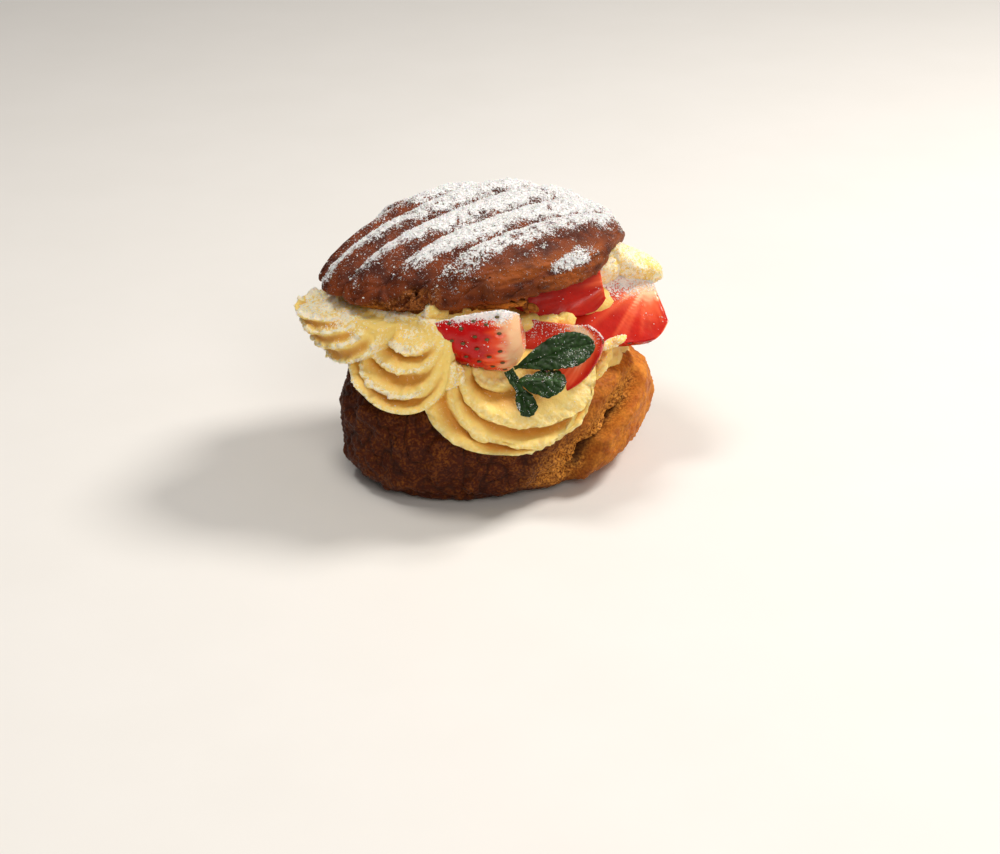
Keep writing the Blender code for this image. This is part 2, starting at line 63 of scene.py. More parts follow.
LID_CENTRE = (-7, 7.5)
LID_HALF_LENGTH = 45
LID_HALF_WIDTH = 34.5
LID_TURN = radians(24.7)
LID_RIDGE_TURN = radians(43)
LID_RIM_HEIGHT = 57.6
LID_RIM_SLOPE = 0.055
LID_RIM_THICKNESS = 0.9
LID_RISE = 15.4
LID_END_DROP = 0.44
LID_DOME = (2.2, 0.45, 0.38)  # flatness, and steepness at the right and the left
LID_WALL = 4
LID_RIDGES = 9
LID_RIDGE_DEPTH = 3.4
LID_RIDGE_ROUNDNESS = 0.7
LID_STEEPEST = 2.4
LID_BACK_START = -5
LID_BACK_PHASES = (6.75, 7)  # the ridges between which the left ends move to the back start
LID_END_OFFSET = 81
LID_END_SLANT = 1.9
LID_LEFT_NOTCH = 1.5  # depth of the notches between the ridges' left ends
HOLLOW_CENTRE = (28.5, -20)  # along and across the ridges
HOLLOW_REACH = (26, 13)
HOLLOW_RISE = 11

CORE_FLOOR = 23
CORE_FOOT = 28
CORE_EDGE = 55
CORE_PEAK = 60.5
CORE_CROWN = 59.4
CORE_CROWN_SHARE = 0.5
CORE_SHARE = 0.84
CORE_STEP_SHARE = 0.40
CORE_STEP_HEIGHT = 37
CORE_STEP_BLEND = 6
CORE_STEP_DEG = -55
CORE_STEP_SPREAD_DEG = 44
CORE_RECESS = 0.16

LOBE_ROOT = 24
LIP_HOLLOW = 3.4
LIP_HANG = 0.8
LIP_TUCK = 0.45
# A lip: turn, half width and lean in degrees, drop from the top and reach past the base.
Lip = namedtuple("Lip", "turn half lean drop reach")
SCALLOP_LIPS = (
    Lip(-2, 12.5, 0, 8.2, -1.4),
    Lip(-3.5, 16.5, 2, 12.8, 1.2),
    Lip(-6, 19.5, 5, 19.6, 4.2),
    Lip(-8.5, 24, 9, 23.4, 5.4),
)
WING_LIPS = (
    Lip(-6, 14, -5, 2.6, 12.8),
    Lip(-3, 16.5, -5, 6.4, 10.8),
    Lip(0, 19.5, -4, 10, 8.2),
    Lip(3, 22, 0, 13.2, 5),
)
SWAG_LIPS = (
    Lip(-18, 8, 0, 5, -2),
    Lip(1.5, 32.5, 1, 16, 4.8),
    Lip(-3, 33, 2, 21.4, 6),
    Lip(-12, 35.5, 2, 23.4, 5.2),
)
SHOULDER_LIPS = (
    Lip(0, 14, 0, 3, -1.5),
    Lip(0, 18, 0, 6, -1),
    Lip(0, 22, 0, 10, -1),
    Lip(0, 26, 0, 16, -3),
)
SIDE_LIPS = (
    Lip(-6, 8, 0, 2, -11.5),
    Lip(-3, 12, 0, 4.5, -10.5),
    Lip(0, 17, 0, 8, -10),
    Lip(0, 20, 0, 12.4, -10),
)
# A lobe of piped cream: direction in degrees, height of its top, crown over that, reach of its
# pocket past the base, lips from the top down, tuck at their ends, roughness and softness.
Lobe = namedtuple("Lobe", "angle top crown pocket lips tuck rough soft",
                  defaults=(1, -8, SCALLOP_LIPS, LIP_TUCK, 1, 0.3))
LOBES = (
    Lobe(-160, 52.6, 2.5, 0, WING_LIPS, 0.95, 1.6, 0.8),
    Lobe(-126, 54.5),
    Lobe(-75, 43.2, 1, -9, SWAG_LIPS, soft=0),
    Lobe(-23, 43, 0.5, -14, SIDE_LIPS),
    Lobe(35, 57.5, 1.5, -8, SHOULDER_LIPS, rough=1.7, soft=0.6),
    Lobe(67, 54.2),
    Lobe(105, 54.5),
    Lobe(142, 54),
    Lobe(175, 53.6),
)

# Half fruits: the calyx end's place, the long axis, the way the cut face looks, the radius, the
# length, the middle and the reach of the pale core on that face (across it, along it), the pale
# share of the skin at the calyx end and how thickly they are dusted.
Berry = namedtuple("Berry", "name place axis face radius length core spread pale dust")
BERRIES = (
    Berry("front", (6.5, -27, 52.5), (-1, 0.05, -0.12), (0, 0.66, 0.75),
          12.6, 27, (0, 0.2), (0.5, 0.35), 0.46, 1),
    Berry("middle", (17.2, -22.4, 50.5), (-0.12, -0.42, -0.9), (-0.28, -0.84, 0.44),
          12.6, 19.4, (0.62, 0.1), (0.5, 0.55), 0.1, 0.4),
    Berry("right", (46, 2, 47.5), (-1, -0.42, -0.06), (-0.1, -0.72, 0.62),
          11.5, 35, (-0.5, 0.06), (0.75, 0.3), 0.2, 0.8),
    Berry("under_lid", (29, -5.5, 56.5), (-1, -0.3, -0.12), (-0.1, -0.95, 0.25),
          8.6, 27, (0.1, -0.22), (0.9, 0.22), 0.1, 0.45),
    Berry("back_right", (23, 29.5, 51.5), (-1, 0.32, -0.1), (0.1, -0.5, 0.85),
          11, 26, (0, 0.2), (0.5, 0.4), 0.25, 0.4),
    Berry("back_left", (-36.5, 13.5, 49.5), (0.5, 0.85, -0.15), (0.45, -0.35, 0.8),
          10, 23, (0, 0.2), (0.5, 0.4), 0.25, 0.4),
)
BERRY_CALYX_DROP = 0.4
BERRY_CALYX_REACH = 0.22
BERRY_POINT = (2.3, 0.62)  # taper and bluntness

# Mint blades: both ends, width, how far the middle and the sides rise, and 1 for a spoon shape.
Leaf = namedtuple("Leaf", "name stem tip width arch cup spoon")
LEAVES = (
    Leaf("large", (4.6, -36.4, 43.4), (26, -30.4, 48), 9.6, 2.5, 0.9, 0),
    Leaf("folded", (5.6, -40, 41), (18.4, -41.8, 41.4), 8.6, 1.6, -2.4, 0),
    Leaf("small", (2.8, -38.2, 43.4), (9, -42.8, 32.2), 5.4, 0.4, 0.8, 1),
)
# The way each leaf's upper side looks.
LEAF_UP = ((-0.15, -0.86, 0.5), (0.1, -0.5, 0.86), (0.35, -0.9, 0.3))

# ---- numbers of the finer meshes

BASE_COLUMNS, BASE_ROWS = 520, 120
BASE_TOP_ROWS, BASE_TOP_INNER = 26, 0.5
LID_SLICES_PER_RIDGE = 34
LID_STEPS, LID_UNDER_STEPS, LID_LIP_STEPS = 190, 60, 9
LOBE_STEPS, LOBE_ROWS = 110, 78
CORE_COLUMNS, CORE_LEVELS = 220, 50
DAB_COLUMNS, DAB_ROWS = 48, 30
BERRY_RINGS, BERRY_ARC_STEPS, BERRY_FACE_STEPS, CALYX_RINGS = 64, 84, 56, 6
SEED_COLUMNS, SEED_ROWS = 8, 5
LEAF_LENGTH_STEPS, LEAF_WIDTH_STEPS = 76, 42


# ---- numbers and noise

def lattice_value(cell, seed):
    """A repeatable value from 0 to 1 for each whole-number lattice cell."""
    mixed = cell[..., 0] * 127.1 + cell[..., 1] * 311.7 + cell[..., 2] * 74.7 + seed * 19.3
    wave = np.sin(mixed) * 43758.5453
    return wave - np.floor(wave)


def noise(points, size, seed):
    """Smooth lumps from -1 to 1, about one size across."""
    scaled = points / size
    corner = np.floor(scaled)
    part = scaled - corner
    blend = part * part * (3 - 2 * part)
    total = np.zeros(points.shape[:-1])
    for index in range(8):
        step = np.array([index & 1, (index >> 1) & 1, (index >> 2) & 1], dtype=float)
        weight = np.prod(np.where(step > 0, blend, 1 - blend), axis=-1)
        total += weight * lattice_value(corner + step, seed)
    return 2 * total - 1


def lumps(points, size, seed, layers=3):
    """Lumps with finer lumps on them, from about -1 to 1."""
    total = 0
    for layer in range(layers):
        moved = points + 0.31 * layer * size
        total = total + 0.5 ** layer * noise(moved, size / 2.1 ** layer, seed + layer)
    return total


def warped(points, size, amount, seed):
    """Points pushed about by three smooth noises, so that what is drawn on them meanders."""
    pushes = [noise(points, size, seed + axis) for axis in range(3)]
    return points + amount * np.stack(pushes, axis=-1)


def creased(points, size, seed, warp, power=1, stretch=1):
    """Rounded folds with creases between them, 0 in a crease; warp is size, amount and seed."""
    return np.abs(noise(warped(points, *warp) * stretch, size, seed)) ** power


def ease(low, high, value):
    """0 at low, 1 at high, held outside them, and a smooth step between."""
    part = np.clip((value - low) / (high - low), 0, 1)
    return part * part * (3 - 2 * part)


def bell(value):
    """1 at zero, falling smoothly away on both sides."""
    return np.exp(-(value ** 2))


def grid_of(*coordinates):
    return np.stack(np.broadcast_arrays(*coordinates), axis=-1)


def ring_points(angle, radius, height):
    return grid_of(radius * np.cos(angle), radius * np.sin(angle), height)


def base_oval(angle):
    local = angle - BASE_TURN
    return 1 / np.hypot(np.cos(local) / BASE_HALF_LENGTH, np.sin(local) / BASE_HALF_WIDTH)


# ---- meshes

def band_faces(rows, columns, wrap, start=0):
    """Four-cornered faces between neighbouring rows of a grid of vertices."""
    index = np.arange(rows * columns).reshape(rows, columns) + start
    after = np.roll(index, -1, axis=1)
    faces = np.stack((index[:-1], after[:-1], after[1:], index[1:]), axis=-1)
    return faces.reshape(-1, 4) if wrap else faces[:, :-1].reshape(-1, 4)


def fan_faces(ring, apex):
    return np.stack((ring, np.roll(ring, -1), np.full_like(ring, apex)), axis=-1)


def closed_tube(grid, first_end, last_end):
    """Points and faces of a grid of rings that one more point closes past each end."""
    rows, columns = grid.shape[:2]
    count = rows * columns
    first, last = np.arange(columns)[::-1], np.arange(count - columns, count)
    faces = [band_faces(rows, columns, True), fan_faces(first, count), fan_faces(last, count + 1)]
    return np.concatenate((grid.reshape(-1, 3), [first_end, last_end])), faces


def tube_mask(values, first_end=0, last_end=0):
    """A mask from 0 to 1 for a closed tube, with the values of its two end points."""
    return np.append(np.clip(values, 0, 1), (first_end, last_end))


def ball(rows, columns):
    """Points and faces of a unit ball with its poles on the first axis."""
    around = np.linspace(0, 2 * pi, columns, endpoint=False)[None, :]
    down = np.linspace(0, pi, rows + 2)[1:-1, None]
    grid = grid_of(np.cos(down), np.sin(down) * np.cos(around), np.sin(down) * np.sin(around))
    return closed_tube(grid, (1, 0, 0), (-1, 0, 0))


def joined(parts):
    """Points and faces of several closed shapes in one mesh."""
    starts = np.cumsum([0] + [len(points) for points, _ in parts])
    faces = [corners + start for (_, listed), start in zip(parts, starts) for corners in listed]
    return np.concatenate([points for points, _ in parts]), faces


def grid_normals(grid, wrap, outward):
    """Normals of a grid of points, on the whole to the side that outward points to."""
    across = np.roll(grid, -1, axis=1) - np.roll(grid, 1, axis=1) if wrap else np.gradient(grid, axis=1)
    normals = np.cross(across, np.gradient(grid, axis=0))
    normals /= np.maximum(np.linalg.norm(normals, axis=-1, keepdims=True), 1e-9)
    return normals if (normals * outward).sum() > 0 else -normals


def signed_volume(points, faces):
    total = 0
    for corners in faces:
        first = points[corners[:, 0]]
        for step in range(1, corners.shape[1] - 1):
            second, third = points[corners[:, step]], points[corners[:, step + 1]]
            total += np.einsum("ij,ij->i", first, np.cross(second, third)).sum()
    return total


def placed(name, data):
    item = bpy.data.objects.new(name, data)
    bpy.context.scene.collection.objects.link(item)
    return item


def change_mesh(mesh, change):
    """Let a function change a mesh as a bmesh."""
    body = bmesh.new()
    body.from_mesh(mesh)
    change(body)
    body.to_mesh(mesh)
    body.free()


def turn_outward(body):
    bmesh.ops.recalc_face_normals(body, faces=body.faces)


def delete_loose_faces(body):
    """Delete faces that share no edge with another one."""
    loose = [face for face in body.faces if all(edge.is_boundary for edge in face.edges)]
    bmesh.ops.delete(body, geom=loose, context="FACES")


def make_object(name, points, faces, material, masks=None, turn_faces=False):
    """A closed, smooth-shaded mesh object facing outward, in metres in the row frame."""
    points = np.asarray(points).reshape(-1, 3)
    if signed_volume(points, faces) < 0:
        faces = [corners[:, ::-1] for corners in faces]
    listed = []
    for corners in faces:
        listed += corners.tolist()
    mesh = bpy.data.meshes.new(name)
    mesh.from_pydata(((points + MIDDLE) * METRES).tolist(), [], listed)
    if turn_faces:
        change_mesh(mesh, turn_outward)
    for key, values in (masks or {}).items():
        layer = mesh.attributes.new(key, "FLOAT", "POINT")
        layer.data.foreach_set("value", np.asarray(values, dtype=np.float32).ravel())
    mesh.shade_smooth()
    mesh.materials.append(material)
    return placed(name, mesh)


def adopt(item, slot, *nodes):
    """Make an object a piece of the part that stands for CAD nodes."""
    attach(item, ROOT)
    if nodes:
        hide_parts(*nodes)
    return item


# ---- materials

def srgb(colour):
    """Linear colour of screen values from 0 to 255."""
    share = np.array(colour) / 255
    return (*np.where(share <= 0.04045, share / 12.92, ((share + 0.055) / 1.055) ** 2.4), 1)


class Shading:
    """A Principled material and short calls that add nodes to it."""

    def __init__(self, name, roughness, **sockets):
        self.material = bpy.data.materials.new(name)
        self.material.use_nodes = True
        self.tree = self.material.node_tree
        self.shader = self.tree.nodes["Principled BSDF"]
        self.shader.inputs["Roughness"].default_value = roughness
        for key, value in sockets.items():
            self.shader.inputs[key.replace("_", " ")].default_value = value
        self.place = self.tree.nodes.new("ShaderNodeTexCoord").outputs["Object"]

    def node(self, kind, values, **settings):
        item = self.tree.nodes.new(kind)
        for key, value in settings.items():
            setattr(item, key, value)
        for key, value in values.items():
            if isinstance(value, bpy.types.NodeSocket):
                self.tree.links.new(value, item.inputs[key])
            else:
                item.inputs[key].default_value = value
        return item

    def mask(self, name):
        return self.node("ShaderNodeAttribute", {}, attribute_name=name).outputs["Fac"]

    def noise(self, size, detail=3, rough=0.55):
        scale = 1 / (size * METRES)
        values = {"Vector": self.place, "Scale": scale, "Detail": detail, "Roughness": rough}
        return self.node("ShaderNodeTexNoise", values).outputs["Fac"]

    def math(self, operation, first, second):
        return self.node("ShaderNodeMath", {0: first, 1: second}, operation=operation).outputs[0]

    def span(self, value, low=0.3, high=0.7, to_low=0, to_high=1):
        values = {0: value, 1: low, 2: high, 3: to_low, 4: to_high}
        return self.node("ShaderNodeMapRange", values, interpolation_type="SMOOTHSTEP").outputs[0]

    def mix(self, share, *colours):
        """A colour between two, each a socket or screen values."""
        first, second = (srgb(colour) if isinstance(colour, tuple) else colour for colour in colours)
        return self.node("ShaderNodeMix", {0: share, 6: first, 7: second}, data_type="RGBA").outputs[2]

    def cover(self, low, high, *grains, reach=(0.3, 0.7)):
        """Where sugar lies: the dust mask, broken up by noises that each have a strength."""
        level = self.mask("dust")
        for grain, strength in grains:
            level = self.math("ADD", level, self.span(grain, *reach, -strength, strength))
        return self.span(level, low, high)

    def bump(self, height, distance, strength=1, under=None):
        values = {"Height": height, "Distance": distance * METRES, "Strength": strength}
        if under is not None:
            values["Normal"] = under
        return self.node("ShaderNodeBump", values).outputs["Normal"]

    def finish(self, colour, normal=None, roughness=None):
        for name, socket in (("Base Color", colour), ("Normal", normal), ("Roughness", roughness)):
            if socket is not None:
                self.tree.links.new(socket, self.shader.inputs[name])
        return self.material


SUGAR = (233, 233, 234)


def crust_material():
    """Baked crust of the base: dark brown, gold where it rose last and tore, with painted shade at the
    left and painted light at the right and on the folds' tops.
    """
    look = Shading("Crust", 0.6, Specular_IOR_Level=0.12)
    mottle = look.noise(4, 4)
    speckle = look.noise(0.7)
    fine = look.noise(0.25, 2)
    # The dark tone stands for the crust in painted shade and the light tone for it in painted light; the
    # mask between them runs from the left to the right.
    dark = look.mix(mottle, (40, 12, 4), (88, 34, 10))
    light = look.mix(look.span(mottle, 0.28, 0.72), (172, 88, 24), (224, 142, 52))
    golden = look.math("ADD", look.mask("golden"), look.span(speckle, 0.3, 0.7, -0.16, 0.16))
    torn = look.mix(look.span(speckle), (98, 42, 10), (236, 160, 68))
    colour = look.mix(look.mask("torn"), look.mix(golden, dark, light), torn)
    # Painted shade in the creases and in the tear's hole.
    colour = look.mix(look.span(look.mask("crease_shade"), 0.4, 1, 0, 0.9), colour, (46, 17, 6))
    normal = look.bump(look.math("ADD", speckle, look.math("MULTIPLY", fine, 0.5)), 0.18)
    return look.finish(colour, normal, look.span(mottle, 0.3, 0.7, 0.42, 0.68))


def lid_material():
    """Caramel-brown crust with icing sugar wherever the dust mask and fine grain let it lie."""
    look = Shading("Dusted crust", 0.5, Specular_IOR_Level=0.16)
    mottle = look.noise(5, 4)
    speckle = look.noise(0.6, 4, 0.65)
    clumps = look.noise(0.32, 3, 0.7)
    brown = look.mix(look.span(mottle, 0.35, 0.65), (66, 22, 6), (120, 52, 14))
    # Gold-brown rim and wall streaks, lighter towards the right: partly painted light.
    brown = look.mix(look.mask("golden"), brown, (174, 90, 26))
    brown = look.mix(look.span(speckle, 0.35, 0.75, 0, 0.3), brown, (92, 40, 14))
    # The torn colour, which covers the underside, is kept darker than the base's torn crust: painted shade
    # under the lid, on real torn crust.
    torn = look.mix(look.span(speckle), (62, 24, 8), (184, 108, 44))
    brown = look.mix(look.mask("torn"), brown, torn)
    cover = look.cover(0.4, 0.7, (speckle, 0.42), (clumps, 0.3))
    normal = look.bump(cover, 0.16, 0.8, look.bump(clumps, 0.22, 0.9))
    return look.finish(look.mix(cover, brown, SUGAR), normal, look.span(cover, 0, 1, 0.45, 0.95))


def cream_material():
    """Custard cream: deeper yellow in its valleys, which is painted shade, and paler and grainy on its
    lips, which is partly painted highlight.
    """
    look = Shading("Custard cream", 0.5, Specular_IOR_Level=0.35, Subsurface_Weight=0.35,
                   Subsurface_Scale=1.2 * METRES, Subsurface_Radius=(1, 0.62, 0.28))
    grain = look.noise(0.9)
    fine = look.noise(0.3, 3, 0.6)
    body = look.mix(look.noise(6), (244, 204, 104), (252, 222, 130))
    # Painted shade: deeper orange-yellow in the grooves under the lips, in the dabs' dents and a little
    # over the core.
    colour = look.mix(look.span(look.mask("groove_shade"), 0.1, 1, 0, 0.88), body, (208, 136, 34))
    # Paler lip edges, broken up by the grain: partly painted highlight where the lips catch the light.
    pale = look.math("MULTIPLY", look.mask("edge"), look.span(grain, 0.3, 0.65))
    colour = look.mix(pale, colour, (251, 229, 164))
    cover = look.cover(0.36, 0.8, (grain, 0.36), (fine, 0.3))
    colour = look.mix(cover, colour, (254, 241, 210))
    normal = look.bump(look.math("ADD", grain, look.math("MULTIPLY", fine, 0.6)), 0.3, 0.9)
    return look.finish(colour, normal, look.span(cover, 0, 1, 0.46, 0.9))


def berry_material():
    """Strawberry skin that pales to the calyx end, and a cut face with a pale streaked core."""
    look = Shading("Strawberry", 0.28, Specular_IOR_Level=0.3, Subsurface_Weight=0.12,
                   Subsurface_Scale=0.8 * METRES, Subsurface_Radius=(1, 0.25, 0.15),
                   Coat_Weight=0.08, Coat_Roughness=0.2)
    cloud = look.noise(3)
    grain = look.noise(0.5)
    pale = look.mask("pale")
    red = look.mix(cloud, (170, 3, 7), (210, 12, 9))
    skin = look.mix(look.span(pale, 0, 0.45), red, (236, 76, 36))
    skin = look.mix(look.span(pale, 0.4, 1), skin, (242, 194, 148))
    red = look.mix(cloud, (158, 10, 10), (218, 44, 24))
    flesh = look.mix(look.span(pale, 0, 0.5), red, (234, 98, 60))
    flesh = look.mix(look.span(pale, 0.42, 0.85), flesh, (248, 208, 164))
    cover = look.cover(0.45, 0.7, (grain, 0.4), reach=(0.25, 0.75))
    colour = look.mix(cover, look.mix(look.mask("cut"), skin, flesh), (246, 234, 230))
    normal = look.bump(cover, 0.12, 0.8, look.bump(grain, 0.08, 0.6))
    return look.finish(colour, normal, look.span(cover, 0, 1, 0.26, 0.9))


def mint_material():
    look = Shading("Mint", 0.42, Specular_IOR_Level=0.25, Subsurface_Weight=0.05,
                   Subsurface_Scale=0.5 * METRES)
    cloud = look.noise(2.5)
    grain = look.noise(0.35, 2)
    green = look.mix(cloud, (9, 25, 5), (34, 66, 14))
    # Paler along the midrib, the leaf's own colour, and on the tops of the puffs as painted highlight; the
    # creases between the puffs stay dark as painted shade.
    green = look.mix(look.span(look.mask("vein_and_highlight"), 0.2, 1, 0, 0.35), green, (70, 112, 54))
    colour = look.mix(look.cover(0.6, 0.85, (grain, 0.4)), green, (226, 234, 222))
    return look.finish(colour, look.bump(grain, 0.06, 0.5), look.span(cloud, 0.3, 0.7, 0.34, 0.52))


def sugar_material():
    look = Shading("Icing sugar", 0.85, Subsurface_Weight=0.2, Subsurface_Scale=0.3 * METRES)
    grain = look.noise(0.2, 2)
    return look.finish(look.mix(grain, (222, 222, 223), (243, 243, 244)), look.bump(grain, 0.05))


def seed_material():
    look = Shading("Strawberry seeds", 0.4)
    cloud = look.noise(1.2, 2)
    return look.finish(look.mix(cloud, (44, 38, 10), (112, 92, 30)), look.bump(cloud, 0.1))


def floor_material():
    look = Shading("Floor", 0.6)
    return look.finish(look.mix(look.noise(40), (222, 220, 217), (227, 225, 223)))


# ---- base shell

TEAR_HEIGHTS = (6, 8.3, 14.9, 22.3, 26)
TEAR_ANGLES = np.radians((-49, -47.4, -41.3, -12, -4))
TEAR_ARM = 26  # radius at which angles beside the tear become lengths
TEAR_PIT_HEIGHT = 14.5
SHOULDER_DEG, SHOULDER_SPREAD_DEG, SHOULDER_RISE = -12, 26, 4.6
EDGE_ROWS, EDGE_SMOOTHINGS = 5, 3


def base_radius(angle, height):
    """The CAD's wall: a section that is squarer at the left than at the right, with lumps."""
    square_left, square_right = BASE_SQUARENESS
    power = square_left + (square_right - square_left) * (0.5 + 0.5 * np.cos(angle - BASE_ROUND_SIDE))
    low, high = BASE_SECTION
    from_middle = 2 * (low + (high - low) * height / BASE_HEIGHT) - 1
    radius = base_oval(angle) * (1 - np.abs(from_middle) ** power) ** (1 / power)
    points = ring_points(angle, radius, height)
    fine_height, fine_size = BASE_FINE_RELIEF
    coarse = noise(points, BASE_RELIEF_SIZE, 3)
    fine = fine_height * noise(points, BASE_RELIEF_SIZE * fine_size, 5)
    return radius + BASE_RELIEF * (coarse + fine)


def tear_relief(angle, height):
    """Relief of the torn seam at the front right, its torn look and the depth of its hole, which is
    painted as shade.
    """
    beside = (angle - np.interp(height, TEAR_HEIGHTS, TEAR_ANGLES)) * TEAR_ARM
    window = ease(1, 6, height) * ease(27, 23, height)
    lip = 2.4 * bell(beside / 7) * ease(-0.3, 1.2, beside)
    hole = bell((beside + 1.2) / 1.5)
    dent = bell((beside + 5) / 6)
    torn = window * np.clip(dent + hole, 0, 1) * ease(0.8, -0.6, beside)
    pit = bell((height - TEAR_PIT_HEIGHT) / 5)
    return window * (lip - (2.2 + 3.4 * pit) * hole - 2.6 * dent), torn, window * hole * (0.4 + 0.6 * pit)


def base_grid():
    """Rings up the wall and in over the top, then what tear_relief gives for them."""
    angles = np.linspace(0, 2 * pi, BASE_COLUMNS, endpoint=False)[None, :]
    around = np.where(angles > pi, angles - 2 * pi, angles)
    heights = np.linspace(0, 1, BASE_ROWS)[:, None] * BASE_HEIGHT
    radius = base_radius(angles, heights)
    inward = np.linspace(0, 1, BASE_TOP_ROWS + 1)[1:, None] ** 1.3
    top_height = BASE_HEIGHT + BASE_CROWN * np.sin(0.5 * pi * np.minimum(inward * 5, 1))
    top = ring_points(angles, radius[-1] * (1 - (1 - BASE_TOP_INNER) * inward), top_height)
    grid = np.concatenate((ring_points(angles, radius, heights), top))
    shoulder = bell((np.degrees(around) - SHOULDER_DEG) / SHOULDER_SPREAD_DEG)
    grid[..., 2] += SHOULDER_RISE * shoulder * ease(0.55 * BASE_HEIGHT, BASE_HEIGHT, grid[..., 2])
    low, high = BASE_ROWS - EDGE_ROWS, BASE_ROWS + EDGE_ROWS + 1
    for turn in range(EDGE_SMOOTHINGS):
        grid[low:high] = (grid[low - 1:high - 1] + 2 * grid[low:high] + grid[low + 1:high + 1]) / 4
    fill = np.zeros((BASE_TOP_ROWS, BASE_COLUMNS))
    return grid, *(np.concatenate((rows, fill)) for rows in tear_relief(around, heights))


def base_piece(material):
    grid, tear, torn, hole = base_grid()
    normals = grid_normals(grid, True, grid * (1, 1, 0))
    folds = creased(grid * (1, 1, 0.62), 3.8, 24, (7, 2.2, 21), 0.6)
    bumps = creased(grid, 2, 35, (3, 0.8, 31), 0.7)
    wrinkles = creased(grid, 1.1, 47, (2, 0.7, 43))
    web = creased(grid, 1.8, 58, (2.4, 0.9, 57), 0.6)
    craggy = lumps(grid * (1, 1, 0.7), 3.2, 49, 4)
    rough = 1.3 - 1.1 * ease(-4, 22, grid[..., 0])
    relief = rough * (folds - 0.55 + 0.5 * (bumps - 0.5) + 0.42 * craggy)
    relief += 0.1 * lumps(grid, 0.8, 41, 2) + 0.3 * lumps(grid, 4, 55)
    relief += 0.42 * (wrinkles - 0.5)
    relief += torn * (1.4 * lumps(grid, 3, 51, 4) + 1.1 * (web - 0.5))
    relief *= ease(-0.5, 3, grid[..., 2])
    grid = grid + normals * (relief + tear)[..., None]
    grid[..., 2] = np.maximum(grid[..., 2], 0)
    grid[0, :, 2] = 0
    # Painted light and shade: the crust turns gold-brown towards the lit right and back and on the folds'
    # tops, and stays dark at the shaded left.
    golden = ease(-8, 44, grid[..., 0] + 0.25 * grid[..., 1]) + 0.22 * (folds - 0.5)
    # Painted shade: dark in the creases between the folds, more so at the rough left, and in the tear's
    # hole.
    crease_shade = np.clip(1 - 1.5 * folds, 0, 1) * (1 - torn) * np.minimum(rough, 1)
    points, faces = closed_tube(grid, (0, 0, 0), (0, 0, BASE_HEIGHT + BASE_CROWN))
    masks = {"golden": golden, "crease_shade": np.maximum(crease_shade, 1.6 * hole), "torn": torn}
    masks = {key: tube_mask(values, 0.3, 0.3) for key, values in masks.items()}
    adopt(make_object("crust_base", points, faces, material, masks), "choux_crust", "base_shell")


# ---- lid

RIDGE_AXIS = np.exp(1j * LID_RIDGE_TURN)  # along the ridges in plan, as x + iy
# The outline is the oval ALONG * reach^2 + MIXED * reach * offset + ACROSS * offset^2 = 1.
COSINE, SINE = np.cos(LID_TURN - LID_RIDGE_TURN), np.sin(LID_TURN - LID_RIDGE_TURN)
ALONG = (COSINE / LID_HALF_LENGTH) ** 2 + (SINE / LID_HALF_WIDTH) ** 2
MIXED = 2 * COSINE * SINE * (LID_HALF_LENGTH ** -2 - LID_HALF_WIDTH ** -2)
ACROSS = (SINE / LID_HALF_LENGTH) ** 2 + (COSINE / LID_HALF_WIDTH) ** 2
LID_HALF_SPAN = np.sqrt(4 * ALONG / (4 * ALONG * ACROSS - MIXED ** 2))


def lid_heights(reach, offset, cut):
    """Heights over the rim of the lid's upper and lower side."""
    share = np.clip(ALONG * reach ** 2 + MIXED * reach * offset + ACROSS * offset ** 2, 0, 1)
    side = ((reach + 1j * offset) * RIDGE_AXIS).real
    flatness, right_steepness, left_steepness = LID_DOME
    steepness = right_steepness + (left_steepness - right_steepness) * ease(-16, -34, side)
    dome = (1 - share ** flatness) ** steepness
    rise = LID_RISE * (1 - LID_END_DROP * (side / LID_HALF_LENGTH) ** 2)
    front = ease(0.1, -0.5, offset / LID_HALF_SPAN) * ease(-34, -14, side)
    valley = cut * np.minimum(1, LID_STEEPEST * dome) * (1 - 0.9 * front * ease(0, 0.7, share))
    upper = np.maximum(rise * dome - valley, LID_RIM_THICKNESS)
    hollow_along = (reach - HOLLOW_CENTRE[0]) / HOLLOW_REACH[0]
    hollow_across = (offset - HOLLOW_CENTRE[1]) / HOLLOW_REACH[1]
    hollow = HOLLOW_RISE * (1 - hollow_along ** 2 - hollow_across ** 2)
    return upper, np.clip(hollow, 0, np.maximum(upper - LID_WALL, 0))


def lid_lip(end, high, low, side):
    """Reach and height of the rounded rim from the upper side down to the lower one."""
    turn = np.linspace(0, pi, LID_LIP_STEPS + 2)[1:-1]
    half = 0.5 * (high - low)
    return np.stack((end + 0.9 * side * half * np.sin(turn), low + half + half * np.cos(turn)))


